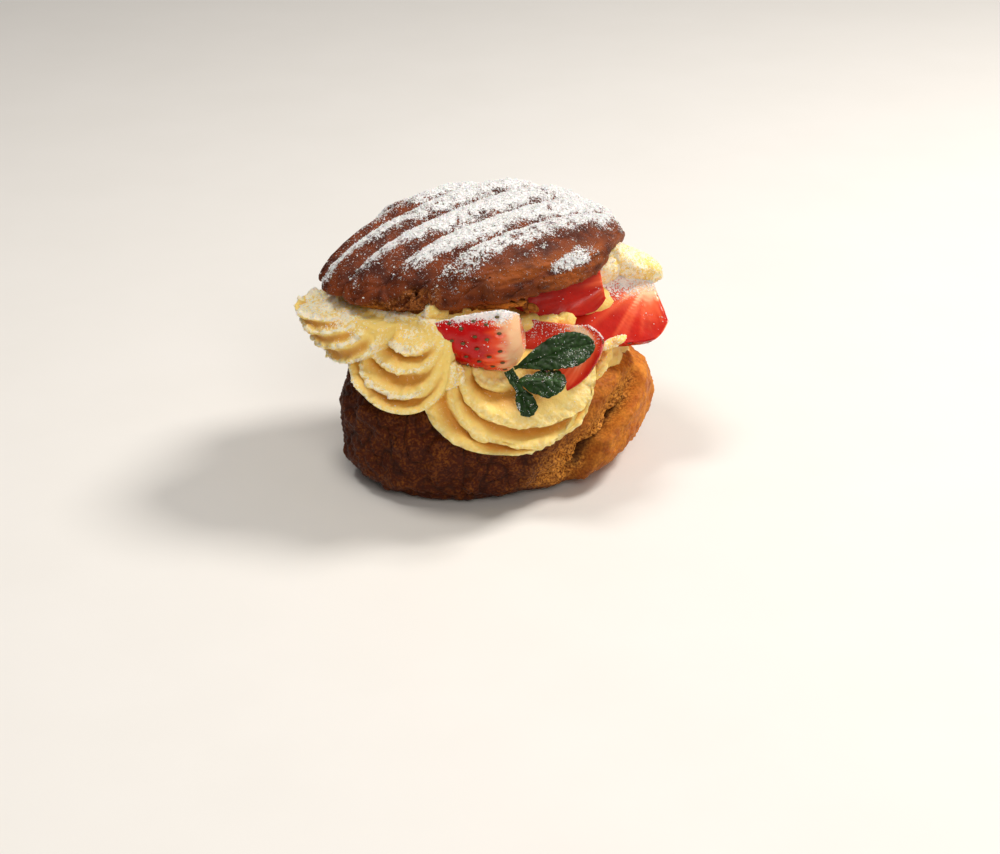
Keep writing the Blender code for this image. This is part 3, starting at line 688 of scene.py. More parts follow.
def lid_loop():
    """One loop for each slice across the ridges, from the left end over the top and back under.

    Gives the points, where they are on the outside, their place across their ridge from -0.5
    to 0.5, their height over the rim and their reach along the ridge.
    """
    slices = LID_RIDGES * LID_SLICES_PER_RIDGE
    share = np.arange(1, slices)[:, None] / slices
    phase = share * LID_RIDGES + 0.5
    offset = -LID_HALF_SPAN * np.cos(pi * share)
    cut = LID_RIDGE_DEPTH * (1 - np.abs(np.cos(pi * phase)) ** LID_RIDGE_ROUNDNESS)
    inner = (MIXED * offset) ** 2 - 4 * ALONG * (ACROSS * offset ** 2 - 1)
    half = np.sqrt(np.maximum(inner, 0)) / (2 * ALONG)
    notch = 0.8 * np.minimum(cut, 0.3 * half)
    middle = -MIXED * offset / (2 * ALONG)
    first = middle - half + LID_LEFT_NOTCH * notch
    half = half - notch * ease(-0.2, 0.3, offset / LID_HALF_SPAN)
    held_back = np.interp(phase, LID_BACK_PHASES, (0, 1))
    first = first + held_back * np.maximum(LID_BACK_START - first, 0)
    last = np.minimum(middle + half, LID_END_OFFSET + LID_END_SLANT * offset)
    middle, half = 0.5 * (first + last), 0.5 * (last - first)
    over_reach = middle - half * np.cos(np.linspace(0, pi, LID_STEPS))
    under_reach = middle + half * np.cos(np.linspace(0, pi, LID_UNDER_STEPS))
    upper, _ = lid_heights(over_reach, offset, cut)
    _, lower = lid_heights(under_reach, offset, cut)
    right = lid_lip(last, upper[:, -1:], lower[:, :1], 1)
    left = lid_lip(first, upper[:, :1], lower[:, -1:], -1)[..., ::-1]
    reach, height = np.concatenate(((over_reach, upper), right, (under_reach, lower), left), axis=-1)
    plan = (reach + 1j * offset) * RIDGE_AXIS
    rim = LID_RIM_HEIGHT + LID_RIM_SLOPE * plan.real
    grid = grid_of(LID_CENTRE[0] + plan.real, LID_CENTRE[1] + plan.imag, rim + height)
    over = np.zeros(reach.shape)
    over[:, :LID_STEPS + LID_LIP_STEPS] = 1
    over[:, -LID_LIP_STEPS:] = 1
    return grid, over, np.broadcast_to(phase - np.round(phase), reach.shape), height, reach


# The lower edge of the sugar, the patch on the front wall and the thin spots (middle, reach and
# depth), all as side and rise: the rise is the height in the photo's own upward direction.
SUGAR_EDGE_SIDE = (-50, -28, -18, -8, 0.6, 16.5, 33)
SUGAR_EDGE_RISE = (47, 50, 46, 47, 54.5, 60.5, 66)
SUGAR_PATCH = 21.4 + 53.6j
SUGAR_PATCH_TILT = radians(28)
SUGAR_PATCH_REACH = (6.6, 2.8)
SUGAR_GAPS = (((-10, 46), (11, 8), 0.45), ((-27, 70), (5, 3.6), 0.9))


def lid_sugar(grid, ridge, height):
    """Sugar on the lid: along the crests at the left, nearly solid at the back, none on the front wall."""
    side = grid[..., 0]
    rise = SEEN_HEIGHT * grid[..., 2] + SEEN_DEPTH * grid[..., 1]
    past_edge = rise - np.interp(side, SUGAR_EDGE_SIDE, SUGAR_EDGE_RISE)
    patches = lumps(grid, 3.6, 81)
    loose = lumps(grid, 2, 87)
    spread = ease(12, 58, side + rise)
    start = 0.06 - 0.42 * spread
    in_groove = 1 - 0.25 * spread
    crests = ease(start - 0.2, start + 0.14, ridge + 0.12 * patches)
    crests *= 1 - 0.6 * ease(13, 1, past_edge) * ease(-0.3, 0.5, loose)
    crests *= 1 - ease(0.38, 0.46, ridge + 0.05 * patches) * in_groove
    crests *= 1 - ease(-0.42, -0.48, ridge - 0.05 * patches) * in_groove
    crests *= ease(-5, 4, past_edge + 3 * patches)
    field = ease(2, 24, side) * ease(-3, 2, past_edge + 2 * patches)
    field *= (0.72 + 0.3 * loose) * (1 - 0.5 * ease(0.42, 0.5, np.abs(ridge)))
    crests = 0.9 * np.maximum(crests, field)
    for (gap_side, gap_rise), (wide, high), depth in SUGAR_GAPS:
        crests *= 1 - depth * bell(np.hypot((side - gap_side) / wide, (rise - gap_rise) / high))
    lying = 0.01 + 0.1 * ease(-2, 4, past_edge) + (1 + 0.6 * lumps(grid, 1.6, 85)) * crests
    from_patch = (side + 1j * rise - SUGAR_PATCH) * np.exp(-1j * SUGAR_PATCH_TILT)
    wide, high = SUGAR_PATCH_REACH
    beside = np.hypot(from_patch.real / wide, from_patch.imag / high)
    patch = 0.8 * ease(1.3, 0.5, beside - 0.3 * patches) * (grid[..., 1] < 0)
    return np.maximum(lying, patch) * ease(0.6, 3.6, height)


def torn_rim(grid, height, crumbs):
    """Where the wall is torn over the rim at the front left, higher up to the right."""
    side = grid[..., 0]
    top = 1 + 5 * ease(-35, -21, side) + 0.8 * crumbs
    torn = ease(top + 0.8, top - 0.4, height) * (grid[..., 1] < 0)
    return torn * ease(-38, -33, side) * ease(-14.5, -17.5, side)


def lid_piece(material):
    grid, over, ridge, height, reach = lid_loop()
    normals = grid_normals(grid, True, over[..., None] * (0, 0, 1))
    wall = over * ease(0.9, 0.55, normals[..., 2])
    under = 1 - over
    crumbs = lumps(grid, 1.3, 71)
    pores = creased(grid, 2.6, 79, (3, 1, 75), 0.7) - 0.5
    ragged = over * torn_rim(grid, height, crumbs)
    fibres = creased(grid, 1.1, 67, (2.4, 0.8, 63), 0.7, (1, 1, 0.45))
    relief = over * (0.16 * crumbs + 0.22 * pores)
    relief += 0.36 * wall * lumps(grid * (0.35, 0.35, 1.6), 2.2, 61)
    relief += ragged * (2.3 * (fibres - 0.8) + 0.4 * crumbs)
    relief += under * (0.8 * pores + 0.5 * crumbs) * ease(0, 8, 40 - np.abs(reach))
    dust = over * lid_sugar(grid, ridge, height) * ease(0.05, 0.4, normals[..., 2])
    thick = np.minimum(dust, 1) * (0.3 + 0.3 * lumps(grid, 1.3, 91))
    grid = grid + normals * (relief + thick)[..., None]
    stripes = ease(-0.7, 0.6, lumps(grid * (0.3, 0.3, 1.5), 2.4, 95, 2))
    # Gold-brown at the rim's lower edge and in streaks on the wall, the crust's own colour, growing
    # towards the lit right end of the wall as painted light.
    golden = 0.25 * ease(1.8, 0.4, height) * over + wall * 0.62 * ease(-18, 8, grid[..., 0]) * stripes
    torn = under + ragged * ease(0.05, 0.4, fibres + 0.2 * crumbs)
    points, faces = closed_tube(grid, grid[0].mean(axis=0), grid[-1].mean(axis=0))
    masks = {"dust": tube_mask(dust), "golden": tube_mask(golden), "torn": tube_mask(torn)}
    return adopt(make_object("crust_lid", points, faces, material, masks), "dusted_crust", "choux_lid")


# ---- cream

def lip_columns(lobe, numbers):
    """A lobe's lip sizes at running numbers, each as a column."""
    pocket = Lip(lobe.lips[0].turn, 0, 0, 0, lobe.pocket)
    known = np.arange(len(lobe.lips) + 1)
    return Lip(*(np.interp(numbers, known, row)[:, None] for row in zip(pocket, *lobe.lips)))


def lobe_face(lobe, seed):
    """The piped face of a lobe as a grid, with its sugar, the painted shade of its grooves and its lips'
    edges.
    """
    numbers = np.linspace(0.06, len(lobe.lips), LOBE_ROWS)
    lip = lip_columns(lobe, numbers)
    column = numbers[:, None]
    part = column - np.floor(column)
    part[-1] = 1
    around = np.linspace(0, pi, LOBE_STEPS + 1)[None, :]
    low = np.sin(around)
    plain_side = ease(0.02 * pi, 0.4 * pi, around) if lobe.lips is SCALLOP_LIPS else 1
    hollow = ease(0.06, 0.3, part) * ease(0.8, 0.36, part)
    hollow = hollow + lobe.soft * (0.85 * np.sin(pi * part) ** 2 - hollow)
    hollow = hollow * np.where(column > 1, 1, 0.25) * plain_side
    valley = LIP_HOLLOW * hollow * (0.4 + 0.6 * ease(0.1 * pi, 0.55 * pi, around))
    turn = np.radians(lobe.angle + lip.turn + lip.half * np.cos(around) + lip.lean * low)
    reach = lobe.pocket + (lip.reach - valley - lobe.pocket) * low ** lobe.tuck
    grid = ring_points(turn, base_oval(turn) + reach, lobe.top - lip.drop * low ** LIP_HANG)
    edge = bell(np.minimum(np.abs(part - 0.93), part + 0.07) / 0.19) * np.where(column > 0.8, 1, 0.3)
    edge = edge * ease(0.02, 0.3, low) * plain_side
    normals = grid_normals(grid, False, grid * (1, 1, 0))
    ragged = lobe.rough * lumps(grid + seed, 2, seed, 4)
    relief = 0.7 * lumps(grid, 6, seed + 5, 2) + (0.7 * edge + 0.12) * ragged
    relief += 0.12 * lumps(grid, 0.8, seed + 9, 2)
    relief += 0.34 * edge * lumps(grid, 1, seed + 11, 2)
    relief[-1] *= 0.4
    grid = grid + normals * (relief * ease(0, 0.15, low))[..., None]
    dust = cream_dust(grid, np.clip(normals[..., 2], 0, 1), edge)
    # The hollows under the lips carry painted shade.
    return grid, {"groove_shade": hollow * ease(0.05, 0.4, low), "edge": edge, "dust": dust}


def lobe_parts(lobe, seed):
    """A lobe's points, faces and masks, closed by a border that runs back to a root."""
    grid, masks = lobe_face(lobe, seed)
    heart = radians(lobe.angle + lobe.lips[0].turn)
    oval = base_oval(heart)
    crown = ring_points(heart, oval + lobe.pocket, lobe.top + lobe.crown)[None, :]
    rows, columns = grid.shape[:2]
    crown_index = rows * columns
    index = np.arange(crown_index).reshape(rows, columns)
    border = np.concatenate((index[::-1, 0], [crown_index], index[:, -1], index[-1, -2:0:-1]))
    points = np.concatenate((grid.reshape(-1, 3), crown))
    turn_back = np.arctan2(points[border, 1], points[border, 0])
    root = ring_points(turn_back, base_oval(turn_back) - LOBE_ROOT, points[border, 2])
    middle = ring_points(heart, oval - LOBE_ROOT, lobe.top - 0.5 * lobe.lips[-1].drop)[None, :]
    root_index = np.arange(len(border)) + len(points)
    points = np.concatenate((points, root, middle))
    first_row = np.stack((index[0, :-1], index[0, 1:], np.full(columns - 1, crown_index)), axis=-1)
    faces = [
        band_faces(rows, columns, False)[:, ::-1],
        first_row[:, ::-1],
        np.stack((border, np.roll(border, -1), np.roll(root_index, -1), root_index), axis=-1),
        fan_faces(root_index, len(points) - 1),
    ]
    rest = np.zeros(len(points) - crown_index)
    return points, faces, {key: np.append(values.ravel(), rest) for key, values in masks.items()}


def cream_dust(points, up, edge):
    """Sugar on the cream: on the wing, on the scallop's upper lips and thin on the rest."""
    side, height = points[..., 0], points[..., 2]
    left = ease(-6, -22, side)
    wing = ease(-24, -32, side)
    right = ease(22, 32, side) * ease(44, 48, height)
    dust = edge ** 2 * (0.08 + 0.7 * left * ease(30, 35, height) + 0.12 * wing) + 0.45 * right
    dust += up * ease(44, 53, height) * (0.1 + 0.75 * left)
    return np.clip(dust + 0.2 * lumps(points, 3.5, 101) - 0.1, 0, 1)


def core_parts():
    turns = np.linspace(-pi, pi, CORE_COLUMNS, endpoint=False)[None, :]
    stepped = np.exp(-(((np.degrees(turns) - CORE_STEP_DEG) / CORE_STEP_SPREAD_DEG) ** 4))
    heights = np.linspace(CORE_EDGE, CORE_FOOT, CORE_LEVELS)[:, None]
    above = np.clip((heights - CORE_STEP_HEIGHT) / CORE_STEP_BLEND, 0, 1)
    share = CORE_SHARE + (CORE_STEP_SHARE - CORE_SHARE) * stepped * above
    share = share - CORE_RECESS * ease(47, 53, heights)
    wall = ring_points(turns, base_oval(turns) * share, heights)
    crown = ring_points(turns, base_oval(turns) * CORE_CROWN_SHARE, CORE_CROWN)
    grid = np.concatenate((crown, wall))
    push = 0.9 * lumps(grid, 3, 111)
    grid[..., :2] *= 1 + push[..., None] / np.linalg.norm(grid[..., :2], axis=-1, keepdims=True)
    points, faces = closed_tube(grid, (0, 0, CORE_PEAK), (0, 0, CORE_FLOOR))
    plain = np.zeros(len(points))
    # The core gets a little painted shade all over.
    return points, faces, {"edge": plain, "dust": plain, "groove_shade": plain + 0.35}


# Loose dabs of cream: the middle, the three half sizes, the long axis and how rough they are.
Dab = namedtuple("Dab", "place sizes axis rough seed sugar", defaults=(0.08,))
DABS = (
    Dab((-15.8, -35.8, 39.2), (7.4, 2.4, 4), (0.78, -0.1, 0.6), 0.36, 201, 0.42),
    Dab((7.5, -18, 48.6), (4.2, 3, 2.2), (1, 0.1, 0.3), 0.22, 211),
    Dab((13.5, -17, 48.2), (5, 2.8, 2), (1, 0.25, 0.3), 0.24, 221),
    Dab((18.5, -15, 48), (3.6, 3, 2), (1, 0.2, 0.2), 0.2, 226),
    Dab((32.4, -18.8, 43.4), (3.2, 1.8, 1.5), (0.9, 0.3, 0.3), 0.45, 231, 0.4),
    Dab((30.2, -20.2, 39.8), (3.8, 1.7, 1.4), (0.45, 0.25, 0.85), 0.5, 234),
    Dab((28.2, -21.4, 36.2), (3.4, 1.5, 1.3), (0.5, 0.25, 0.83), 0.5, 237),
    Dab((35, 9, 56.6), (9.5, 6.5, 4.4), (0.92, -0.1, -0.32), 0.14, 241, 0.2),
    Dab((30, 4, 55.4), (5.4, 4, 3.8), (0.8, 0.3, 0.2), 0.16, 245, 0.3),
    Dab((41, 9.5, 54.2), (6.4, 5, 3.8), (0.9, -0.1, -0.45), 0.18, 251),
    Dab((-17.5, -26, 55), (4, 3, 3.4), (0.4, 0, 0.9), 0.3, 261),
)
# Torn bits of crust under the lid's front edge, and one flake of two bits between the fruits.
CRUMBS = (
    Dab((-24.5, -21.5, 55.4), (9.5, 3.6, 2.3), (0.95, -0.3, 0.02), 0.5, 271),
    Dab((-15, -23.5, 55.6), (5, 2.8, 1.9), (1, -0.1, -0.1), 0.5, 281),
    Dab((7.4, -20, 55.4), (2.8, 1.7, 1), (0.3, -0.1, -1), 0.3, 291),
    Dab((9.4, -19.5, 54), (1.8, 1.3, 0.9), (1, -0.1, -0.6), 0.3, 295),
    # A long strip of torn crust that also fills the gap between the lid and the front fruit as painted
    # shadow.
    Dab((-7.5, -21.6, 55.8), (11.5, 2.6, 1.8), (1, 0, 0.07), 0.55, 297),
)


def dab_parts(dab):
    local, faces = ball(DAB_ROWS, DAB_COLUMNS)
    shape = local * dab.sizes
    swell = 1 + dab.rough * (0.6 * lumps(shape, 4, dab.seed, 2) + 0.5 * lumps(shape, 1.5, dab.seed + 3))
    turn = Vector(dab.axis).normalized().to_track_quat("X", "Z").to_matrix()
    points = (shape * swell[:, None]) @ np.array(turn).T + dab.place
    dust = dab.sugar + cream_dust(points, np.clip(local[:, 2], 0, 1), 0.5)
    # A dab's dents get painted shade and its bulges the pale lip colour, partly painted highlight.
    masks = {"groove_shade": 0.1 - 1.4 * (swell - 1), "edge": 3 * (swell - 1), "dust": dust}
    return points, faces, {key: np.clip(values, 0, 1) for key, values in masks.items()}


def crumbs_piece(material):
    parts = [dab_parts(crumb) for crumb in CRUMBS]
    # Painted light and shade: a crumb's bulges are gold-brown and its dents dark.
    golden = np.concatenate([0.25 + 0.5 * masks["edge"] for _, _, masks in parts])
    masks = {"golden": golden, "crease_shade": 0.6 - golden, "torn": 0.4 * golden}
    points, faces = joined([(points, faces) for points, faces, _ in parts])
    adopt(make_object("crumbs", points, faces, material, masks), "choux_crust")


def cream_piece(material):
    """The core, the lobes and the loose dabs joined into one closed mesh."""
    parts = [core_parts()]
    parts += [lobe_parts(lobe, 120 + 7 * number) for number, lobe in enumerate(LOBES)]
    parts += [dab_parts(dab) for dab in DABS]
    shapes = []
    for number, (points, faces, masks) in enumerate(parts):
        name = "cream_" + str(number)
        shapes.append(make_object(name, points, faces, material, masks, turn_faces=True))
    body = shapes[0]
    for shape in shapes[1:]:
        step = body.modifiers.new("join", "BOOLEAN")
        step.operation = "UNION"
        step.solver = "MANIFOLD"
        step.object = shape
    graph = bpy.context.evaluated_depsgraph_get()
    mesh = bpy.data.meshes.new_from_object(body.evaluated_get(graph))
    for shape in shapes:
        bpy.data.objects.remove(shape, do_unlink=True)
    mesh.name = "custard"
    mesh.validate()
    change_mesh(mesh, delete_loose_faces)
    mesh.shade_smooth()
    return adopt(placed("custard", mesh), "custard_cream", "cream_filling")


# ---- strawberries

SEED_SPACING = (4.2, 4.4)  # along the fruit and round it
SEED_HALF_SIZES = (0.42, 0.26, 0.68)
SEED_SINK = 0.12
CALYX_DISH = 0.9


def berry_outline(share):
    calyx = np.maximum(1 - share / BERRY_CALYX_REACH, 0)
    taper, bluntness = BERRY_POINT
    return (1 - BERRY_CALYX_DROP * calyx ** 2) * (1 - share ** taper) ** bluntness


def berry_turn(berry):
    """Rotation from a fruit's own axes: across its cut face, out of that face, along the fruit."""
    along = Vector(berry.axis).normalized()
    across = Vector(berry.face).cross(along).normalized()
    return np.array(Matrix((across, along.cross(across), along)).transposed())


def seed_places(berry, number):
    """Local points of the seeds on the skin, in staggered rows."""
    rng = np.random.default_rng(300 + number)
    places = []
    row_spacing, column_spacing = SEED_SPACING
    rows = max(int(berry.length / row_spacing), 3)
    for row in range(rows):
        share = 0.2 + 0.74 * row / rows
        radius = berry.radius * berry_outline(share)
        count = max(int(pi * radius / column_spacing), 2)
        for column in range(count):
            angle = -pi * (column + 0.3 + 0.4 * (row % 2) + 0.12 * rng.uniform(-1, 1)) / count
            height = berry.length * (share + 0.012 * rng.uniform(-1, 1))
            places.append(ring_points(angle, radius, height))
    return np.array(places)


def cut_face_look(berry, number, across, share, size):
    """Paleness and relief of the cut face: a pale core with streaks running out of it."""
    (core_across, core_along), (wide, deep) = berry.core, berry.spread
    from_core = np.hypot((across - core_across) / wide, (share - core_along) / deep)
    beam = np.arctan2((share - core_along) * berry.length, (across - core_across) * size)
    streaks = lumps(grid_of(np.cos(beam), np.sin(beam), 0.02 * from_core), 0.11, 320 + number, 2)
    rim = ease(0.7, 1, np.maximum(np.abs(across), share ** 1.5))
    pale = bell(from_core / 1.1) + 0.22 * streaks * ease(0.2, 0.9, from_core)
    pale = (0.78 * pale + 0.07 * np.maximum(streaks, 0)) * (1 - 0.85 * rim)
    return pale, 0.1 * streaks - 0.35 * bell(from_core / 0.8)


def berry_piece(berry, number, material):
    """Half a fruit: its skin with pits for the seeds, its cut face and its dished calyx end."""
    arc = np.linspace(0, -pi, BERRY_ARC_STEPS + 1)
    flat = np.linspace(-1, 1, BERRY_FACE_STEPS + 1)[1:-1]
    section_x = np.concatenate((np.cos(arc), flat))[None, :]
    section_y = np.concatenate((np.sin(arc), 0 * flat))[None, :]
    share = np.sin(np.linspace(0, 0.5 * pi, BERRY_RINGS + 1))[:-1, None]
    ones = np.ones_like(share)
    on_cut = np.concatenate((0 * arc, 1 + 0 * flat))[None, :] * ones
    size = berry.radius * berry_outline(share)
    local = grid_of(size * section_x, size * section_y, share * berry.length)
    seeds = seed_places(berry, number)
    near = np.min([np.linalg.norm(local - place, axis=-1) for place in seeds], axis=0)
    cut_pale, cut_relief = cut_face_look(berry, number, section_x * ones, share, size)
    drift = lumps(local, 4, 340 + number, 2)
    fibres = lumps(local * (1, 1, 0.16), 0.9, 350 + number, 2)
    skin_pale = 1 - ease(0, max(berry.pale, 0.02), share + 0.05 * drift + 0.07 * fibres)
    pale = np.where(on_cut > 0, cut_pale, skin_pale)
    normals = grid_normals(local, True, local * (1, 1, 0))
    skin_relief = 0.22 * ease(0.4, 2, near) - 0.4 * bell(near / 0.85)
    relief = 0.12 * drift + (1 - on_cut) * skin_relief + on_cut * cut_relief
    local = local + normals * (relief * ease(1, 0.93, share))[..., None]
    turn = berry_turn(berry)
    world = local @ turn.T + berry.place
    from_top = world[..., 2] - world[..., 2].max()
    dust = 1.3 * ease(0.2, 0.7, (normals @ turn.T)[..., 2]) * ease(-9, -1, from_top)
    dust = berry.dust * (dust + 0.2 * lumps(world, 2.6, 360 + number))
    end_rows = []
    for step in range(CALYX_RINGS, 0, -1):
        shrink = 1 - step / (CALYX_RINGS + 1)
        moved = (0, -0.3 * berry.radius * (1 - shrink), CALYX_DISH * (1 - shrink ** 2))
        end_rows.append((local[0] * (shrink, shrink, 1) + moved) @ turn.T + berry.place)
    tip = np.array((0, -0.1 * berry.radius, berry.length)) @ turn.T + berry.place
    points, faces = closed_tube(np.concatenate((end_rows, world)), end_rows[0].mean(axis=0), tip)
    end_fill = np.ones((CALYX_RINGS, local.shape[1]))
    masks = {}
    for key, values, at_calyx in (("pale", pale, 0.6), ("cut", on_cut, 1), ("dust", dust, 0.1)):
        masks[key] = tube_mask(np.concatenate((at_calyx * end_fill, values)), at_calyx)
    item = make_object("fruit_" + berry.name, points, faces, material, masks)
    return adopt(item, "strawberry", "strawberry_" + berry.name)


def seeds_piece(material):
    """All the seeds: small almond shapes lying in their pits."""
    round_shape, faces = ball(SEED_ROWS, SEED_COLUMNS)
    shape = round_shape[:, (1, 2, 0)] * SEED_HALF_SIZES
    parts = []
    for number, berry in enumerate(BERRIES):
        turn = berry_turn(berry)
        for spot in seed_places(berry, number):
            out = np.array((spot[0], spot[1], 0)) / np.hypot(spot[0], spot[1])
            basis = np.stack(((-out[1], out[0], 0), out, (0, 0, 1)))
            parts.append(((shape @ basis + spot - SEED_SINK * out) @ turn.T + berry.place, faces))
    adopt(make_object("strawberry_seeds", *joined(parts), material), "strawberry")


# ---- mint

LEAF_TOOTH, LEAF_RIB = 1.9, 2.2  # lengths of one tooth of the edge and one rib


def leaf_half_width(leaf, share, length):
    """Half the blade's width along it, blunt at the tip, with a toothed edge."""
    blade = np.maximum(np.sin(pi * share ** 1.55) ** 0.55, 0.12)
    spoon = 0.52 + 0.48 * ease(0.4, 0.7, share)
    spoon = spoon * np.maximum(1 - ease(0.86, 1.03, share), 0.1) ** 0.6
    teeth = 1 + 0.05 * np.abs(np.sin(pi * share * length / LEAF_TOOTH)) * ease(0.05, 0.2, share)
    return 0.5 * leaf.width * (blade + leaf.spoon * (spoon - blade)) * teeth


def leaf_piece(leaf, number, material):
    """A mint blade with a toothed edge, puffed up between its veins."""
    stem, tip = np.array(leaf.stem), np.array(leaf.tip)
    side = np.cross(tip - stem, LEAF_UP[number])
    side /= np.linalg.norm(side)
    lift = np.cross(side, tip - stem)
    lift /= np.linalg.norm(lift)
    share = np.linspace(0, 1, LEAF_LENGTH_STEPS + 1)[:, None]
    part = np.linspace(-1, 1, LEAF_WIDTH_STEPS + 1)[None, :]
    bulge = np.sin(pi * share)
    length = np.linalg.norm(tip - stem)
    half = leaf_half_width(leaf, share, length)
    flat = grid_of(share * length, half * part, 0 * part)
    across = share * length - 0.75 * np.abs(part) * half + 0.5 * noise(flat, 1.7, 380 + number)
    ribs = np.abs(np.sin(pi * across / LEAF_RIB)) ** 0.6 * ease(0, 0.25, np.abs(part))
    puffs = creased(flat, 1.25, 395 + number, (1.5, 0.3, 390), 0.6)
    midrib = bell(part / 0.07)
    quilt = 0.24 * ribs * (1 - 0.6 * np.abs(part) ** 3) + 0.6 * puffs - 0.3 * midrib
    wave = 0.3 * np.sin(5 * pi * share + number) * part ** 2
    raised = bulge * (leaf.arch + leaf.cup * np.abs(part) + wave)
    middle = stem + grid_of(share, half * part, raised) @ np.stack((tip - stem, side, lift))
    normals = grid_normals(middle, False, lift)
    inside = 1 - np.maximum(np.abs(part), np.abs(2 * share - 1)) ** 8
    thickness = 0.12 + 0.14 * inside
    upper = middle + normals * (quilt + thickness)[..., None]
    lower = middle + normals * (quilt - thickness)[..., None]
    rows, columns = share.size, part.size
    count = rows * columns
    index = np.arange(count).reshape(rows, columns)
    rim = np.concatenate((index[0], index[1:, -1], index[-1, -2::-1], index[-2:0:-1, 0]))
    after = np.roll(rim, -1)
    faces = [
        band_faces(rows, columns, False),
        band_faces(rows, columns, False, count)[:, ::-1],
        np.stack((after, rim, rim + count, after + count), axis=-1),
    ]
    # The midrib, and the tops of the puffs as painted highlight.
    vein_and_highlight = np.maximum(midrib, 0.8 * (puffs - 0.2)).ravel()
    high = ease(0.3, 0.9, np.clip(normals[..., 2], 0, 1) + 0.3 * np.abs(part) ** 3)
    dust = 0.24 * high + 0.4 * lumps(middle, 1.6, 400 + number) - 0.15
    dust = np.append(np.clip(dust, 0, 1), np.zeros(count))
    points = np.concatenate((upper.reshape(-1, 3), lower.reshape(-1, 3)))
    masks = {"vein_and_highlight": np.append(vein_and_highlight, vein_and_highlight), "dust": dust}
    item = make_object("leaf_" + leaf.name, points, faces, material, masks)
    return adopt(item, "mint_leaf", "mint_leaf_" + leaf.name)


# ---- sugar grains

GRAIN_SHAPE = np.array(((1, 0, 0), (-1, 0, 0), (0, 1, 0), (0, -1, 0), (0, 0, 1), (0, 0, -1)), dtype=float)
GRAIN_FACES = np.array(
    ((0, 2, 4), (2, 1, 4), (1, 3, 4), (3, 0, 4), (2, 0, 5), (1, 2, 5), (3, 1, 5), (0, 3, 5)))
# Grains scattered on a piece: how many, their smallest and largest half size, and the share
# that lies where there is no dust.
Scatter = namedtuple("Scatter", "item count small large stray")
DUST_POWER = 1.5


def read_values(items, name, width):
    """One attribute of a list of mesh elements, as rows of the given width."""
    values = np.empty(len(items) * width, dtype=np.int64 if name == "vertices" else float)
    items.foreach_get(name, values)
    return values.reshape(-1, width)


def surface_samples(scatter, rng):
    """Random points on a piece, thicker where its dust mask is high, with their normals."""
    mesh = scatter.item.data
    mesh.calc_loop_triangles()
    corners = read_values(mesh.loop_triangles, "vertices", 3)
    places = read_values(mesh.vertices, "co", 3) / METRES - MIDDLE
    dust = read_values(mesh.attributes["dust"].data, "value", 1)[:, 0]
    first, second, third = (places[corners[:, corner]] for corner in range(3))
    normal = np.cross(second - first, third - first)
    area = np.linalg.norm(normal, axis=-1)
    weight = area * (np.clip(dust[corners].mean(axis=1), 0, 1) ** DUST_POWER + scatter.stray)
    picked = rng.choice(len(corners), scatter.count, p=weight / weight.sum())
    one, two = rng.random((2, scatter.count, 1))
    swap = (one + two) > 1
    one, two = np.where(swap, 1 - one, one), np.where(swap, 1 - two, two)
    spots = first[picked] + one * (second - first)[picked] + two * (third - first)[picked]
    return spots, normal[picked] / np.maximum(area[picked, None], 1e-9)


def turned_at_random(shapes, rng):
    """Each shape, a row of points, turned by its own random unit quaternion."""
    spin = rng.normal(size=(len(shapes), 4))
    spin = (spin / np.linalg.norm(spin, axis=1, keepdims=True))[:, None]
    aside = 2 * np.cross(spin[..., 1:], shapes)
    return shapes + spin[..., :1] * aside + np.cross(spin[..., 1:], aside)


def grains_piece(name, slot, scatters, material, seed):
    """One mesh of angular sugar grains scattered on some pieces."""
    rng = np.random.default_rng(seed)
    clouds = []
    for scatter in scatters:
        spots, normals = surface_samples(scatter, rng)
        span = scatter.large - scatter.small
        size = (scatter.small + span * rng.random(scatter.count) ** 2.5)[:, None]
        shape = GRAIN_SHAPE[None] * (size * rng.uniform(0.6, 1.3, (scatter.count, 3)))[:, None, :]
        clouds.append(turned_at_random(shape, rng) + (spots + normals * size * 0.55)[:, None, :])
    grains = np.concatenate(clouds)
    faces = GRAIN_FACES[None] + len(GRAIN_SHAPE) * np.arange(len(grains))[:, None, None]
    item = make_object(name, grains, [faces.reshape(-1, 3)], material)
    item.data.shade_flat()
    adopt(item, slot)


# ---- stage

CAMERA_ELEVATION = radians(26)
CAMERA_DISTANCE = 685
CAMERA_TARGET = MIDDLE + (0.6, 0, 8)
LIGHT_TARGET = (0, 0, 40)
LIGHTS = (  # name, place, size, power and colour
    ("key", (500, 220, 620), 220, 6, (1, 0.95, 0.88)),
    ("top", (-250, -50, 800), 250, 2.8, (1, 0.96, 0.9)),
    ("front", (160, -660, 500), 400, 2.3, (1, 0.95, 0.87)),
)
FLOOR_REACH = 4000
FLOOR_DROP = 0.1
WORLD_COLOUR = (1, 0.97, 0.94, 1)
WORLD_STRENGTH = 0.18


def add_camera():
    data = bpy.data.cameras.new("camera")
    data.lens = 85
    data.sensor_width = 36
    item = placed("camera", data)
    back = np.array((0, -np.cos(CAMERA_ELEVATION), np.sin(CAMERA_ELEVATION)))
    item.location = (CAMERA_TARGET + CAMERA_DISTANCE * back) * METRES
    item.rotation_euler = (0.5 * pi - CAMERA_ELEVATION, 0, 0)
    bpy.context.scene.camera = item


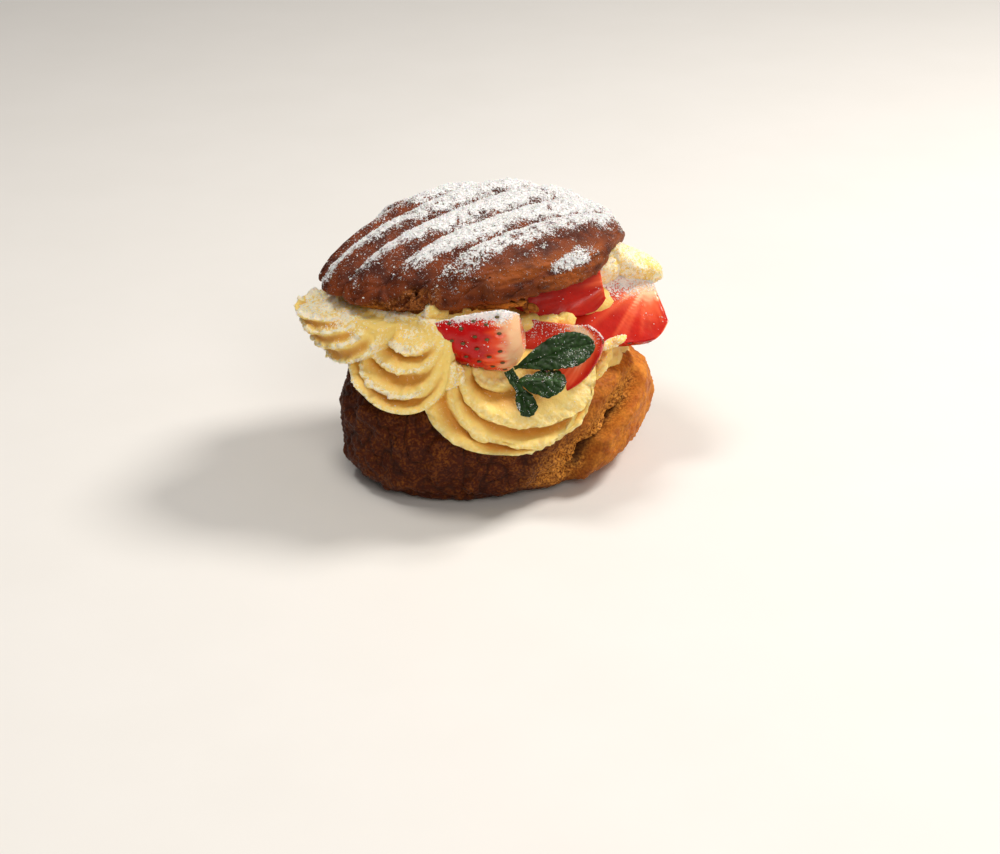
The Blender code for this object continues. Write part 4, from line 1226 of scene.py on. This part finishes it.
def add_light(name, place, size, power, colour):
    data = bpy.data.lights.new(name, "AREA")
    data.shape = "DISK"
    data.size = size * METRES
    data.energy = power
    data.color = colour
    item = placed(name, data)
    item.location = Vector(place) * METRES
    item.rotation_euler = (Vector(LIGHT_TARGET) - Vector(place)).to_track_quat("-Z", "Y").to_euler()


def add_stage():
    corners = np.array(((-1, -1), (1, -1), (1, 1), (-1, 1))) * FLOOR_REACH
    corners = np.column_stack((corners, np.full(len(corners), -FLOOR_DROP))) * METRES
    mesh = bpy.data.meshes.new("floor")
    mesh.from_pydata(corners.tolist(), [], [(0, 1, 2, 3)])
    mesh.materials.append(floor_material())
    floor = placed("floor", mesh)
    world = bpy.data.worlds.new("studio")
    world.use_nodes = True
    sockets = world.node_tree.nodes["Background"].inputs
    sockets["Color"].default_value = WORLD_COLOUR
    sockets["Strength"].default_value = WORLD_STRENGTH
    bpy.context.scene.world = world
    for light in LIGHTS:
        add_light(*light)
    bpy.context.scene.view_settings.view_transform = "Standard"


def build():
    crust = crust_material()
    base_piece(crust)
    lid = lid_piece(lid_material())
    cream = cream_piece(cream_material())
    crumbs_piece(crust)
    fruit = berry_material()
    berries = [berry_piece(berry, number, fruit) for number, berry in enumerate(BERRIES)]
    seeds_piece(seed_material())
    mint = mint_material()
    leaves = [leaf_piece(leaf, number, mint) for number, leaf in enumerate(LEAVES)]
    sugar = sugar_material()
    on_fruit = [Scatter(item, int(450 + 1600 * berry.dust), 0.08, 0.24, 0.0008)
                for item, berry in zip(berries, BERRIES)]
    sugared = (
        ("sugar_on_lid", "dusted_crust", [Scatter(lid, 23500, 0.09, 0.32, 0.001)]),
        ("sugar_on_cream", "custard_cream", [Scatter(cream, 7000, 0.08, 0.24, 0.002)]),
        ("sugar_on_fruit", "strawberry", on_fruit),
        ("sugar_on_mint", "mint_leaf", [Scatter(item, 150, 0.07, 0.16, 0.01) for item in leaves]),
    )
    for seed, (name, slot, scatters) in enumerate(sugared, 501):
        grains_piece(name, slot, scatters, sugar, seed)
    add_stage()
    add_camera()


build()
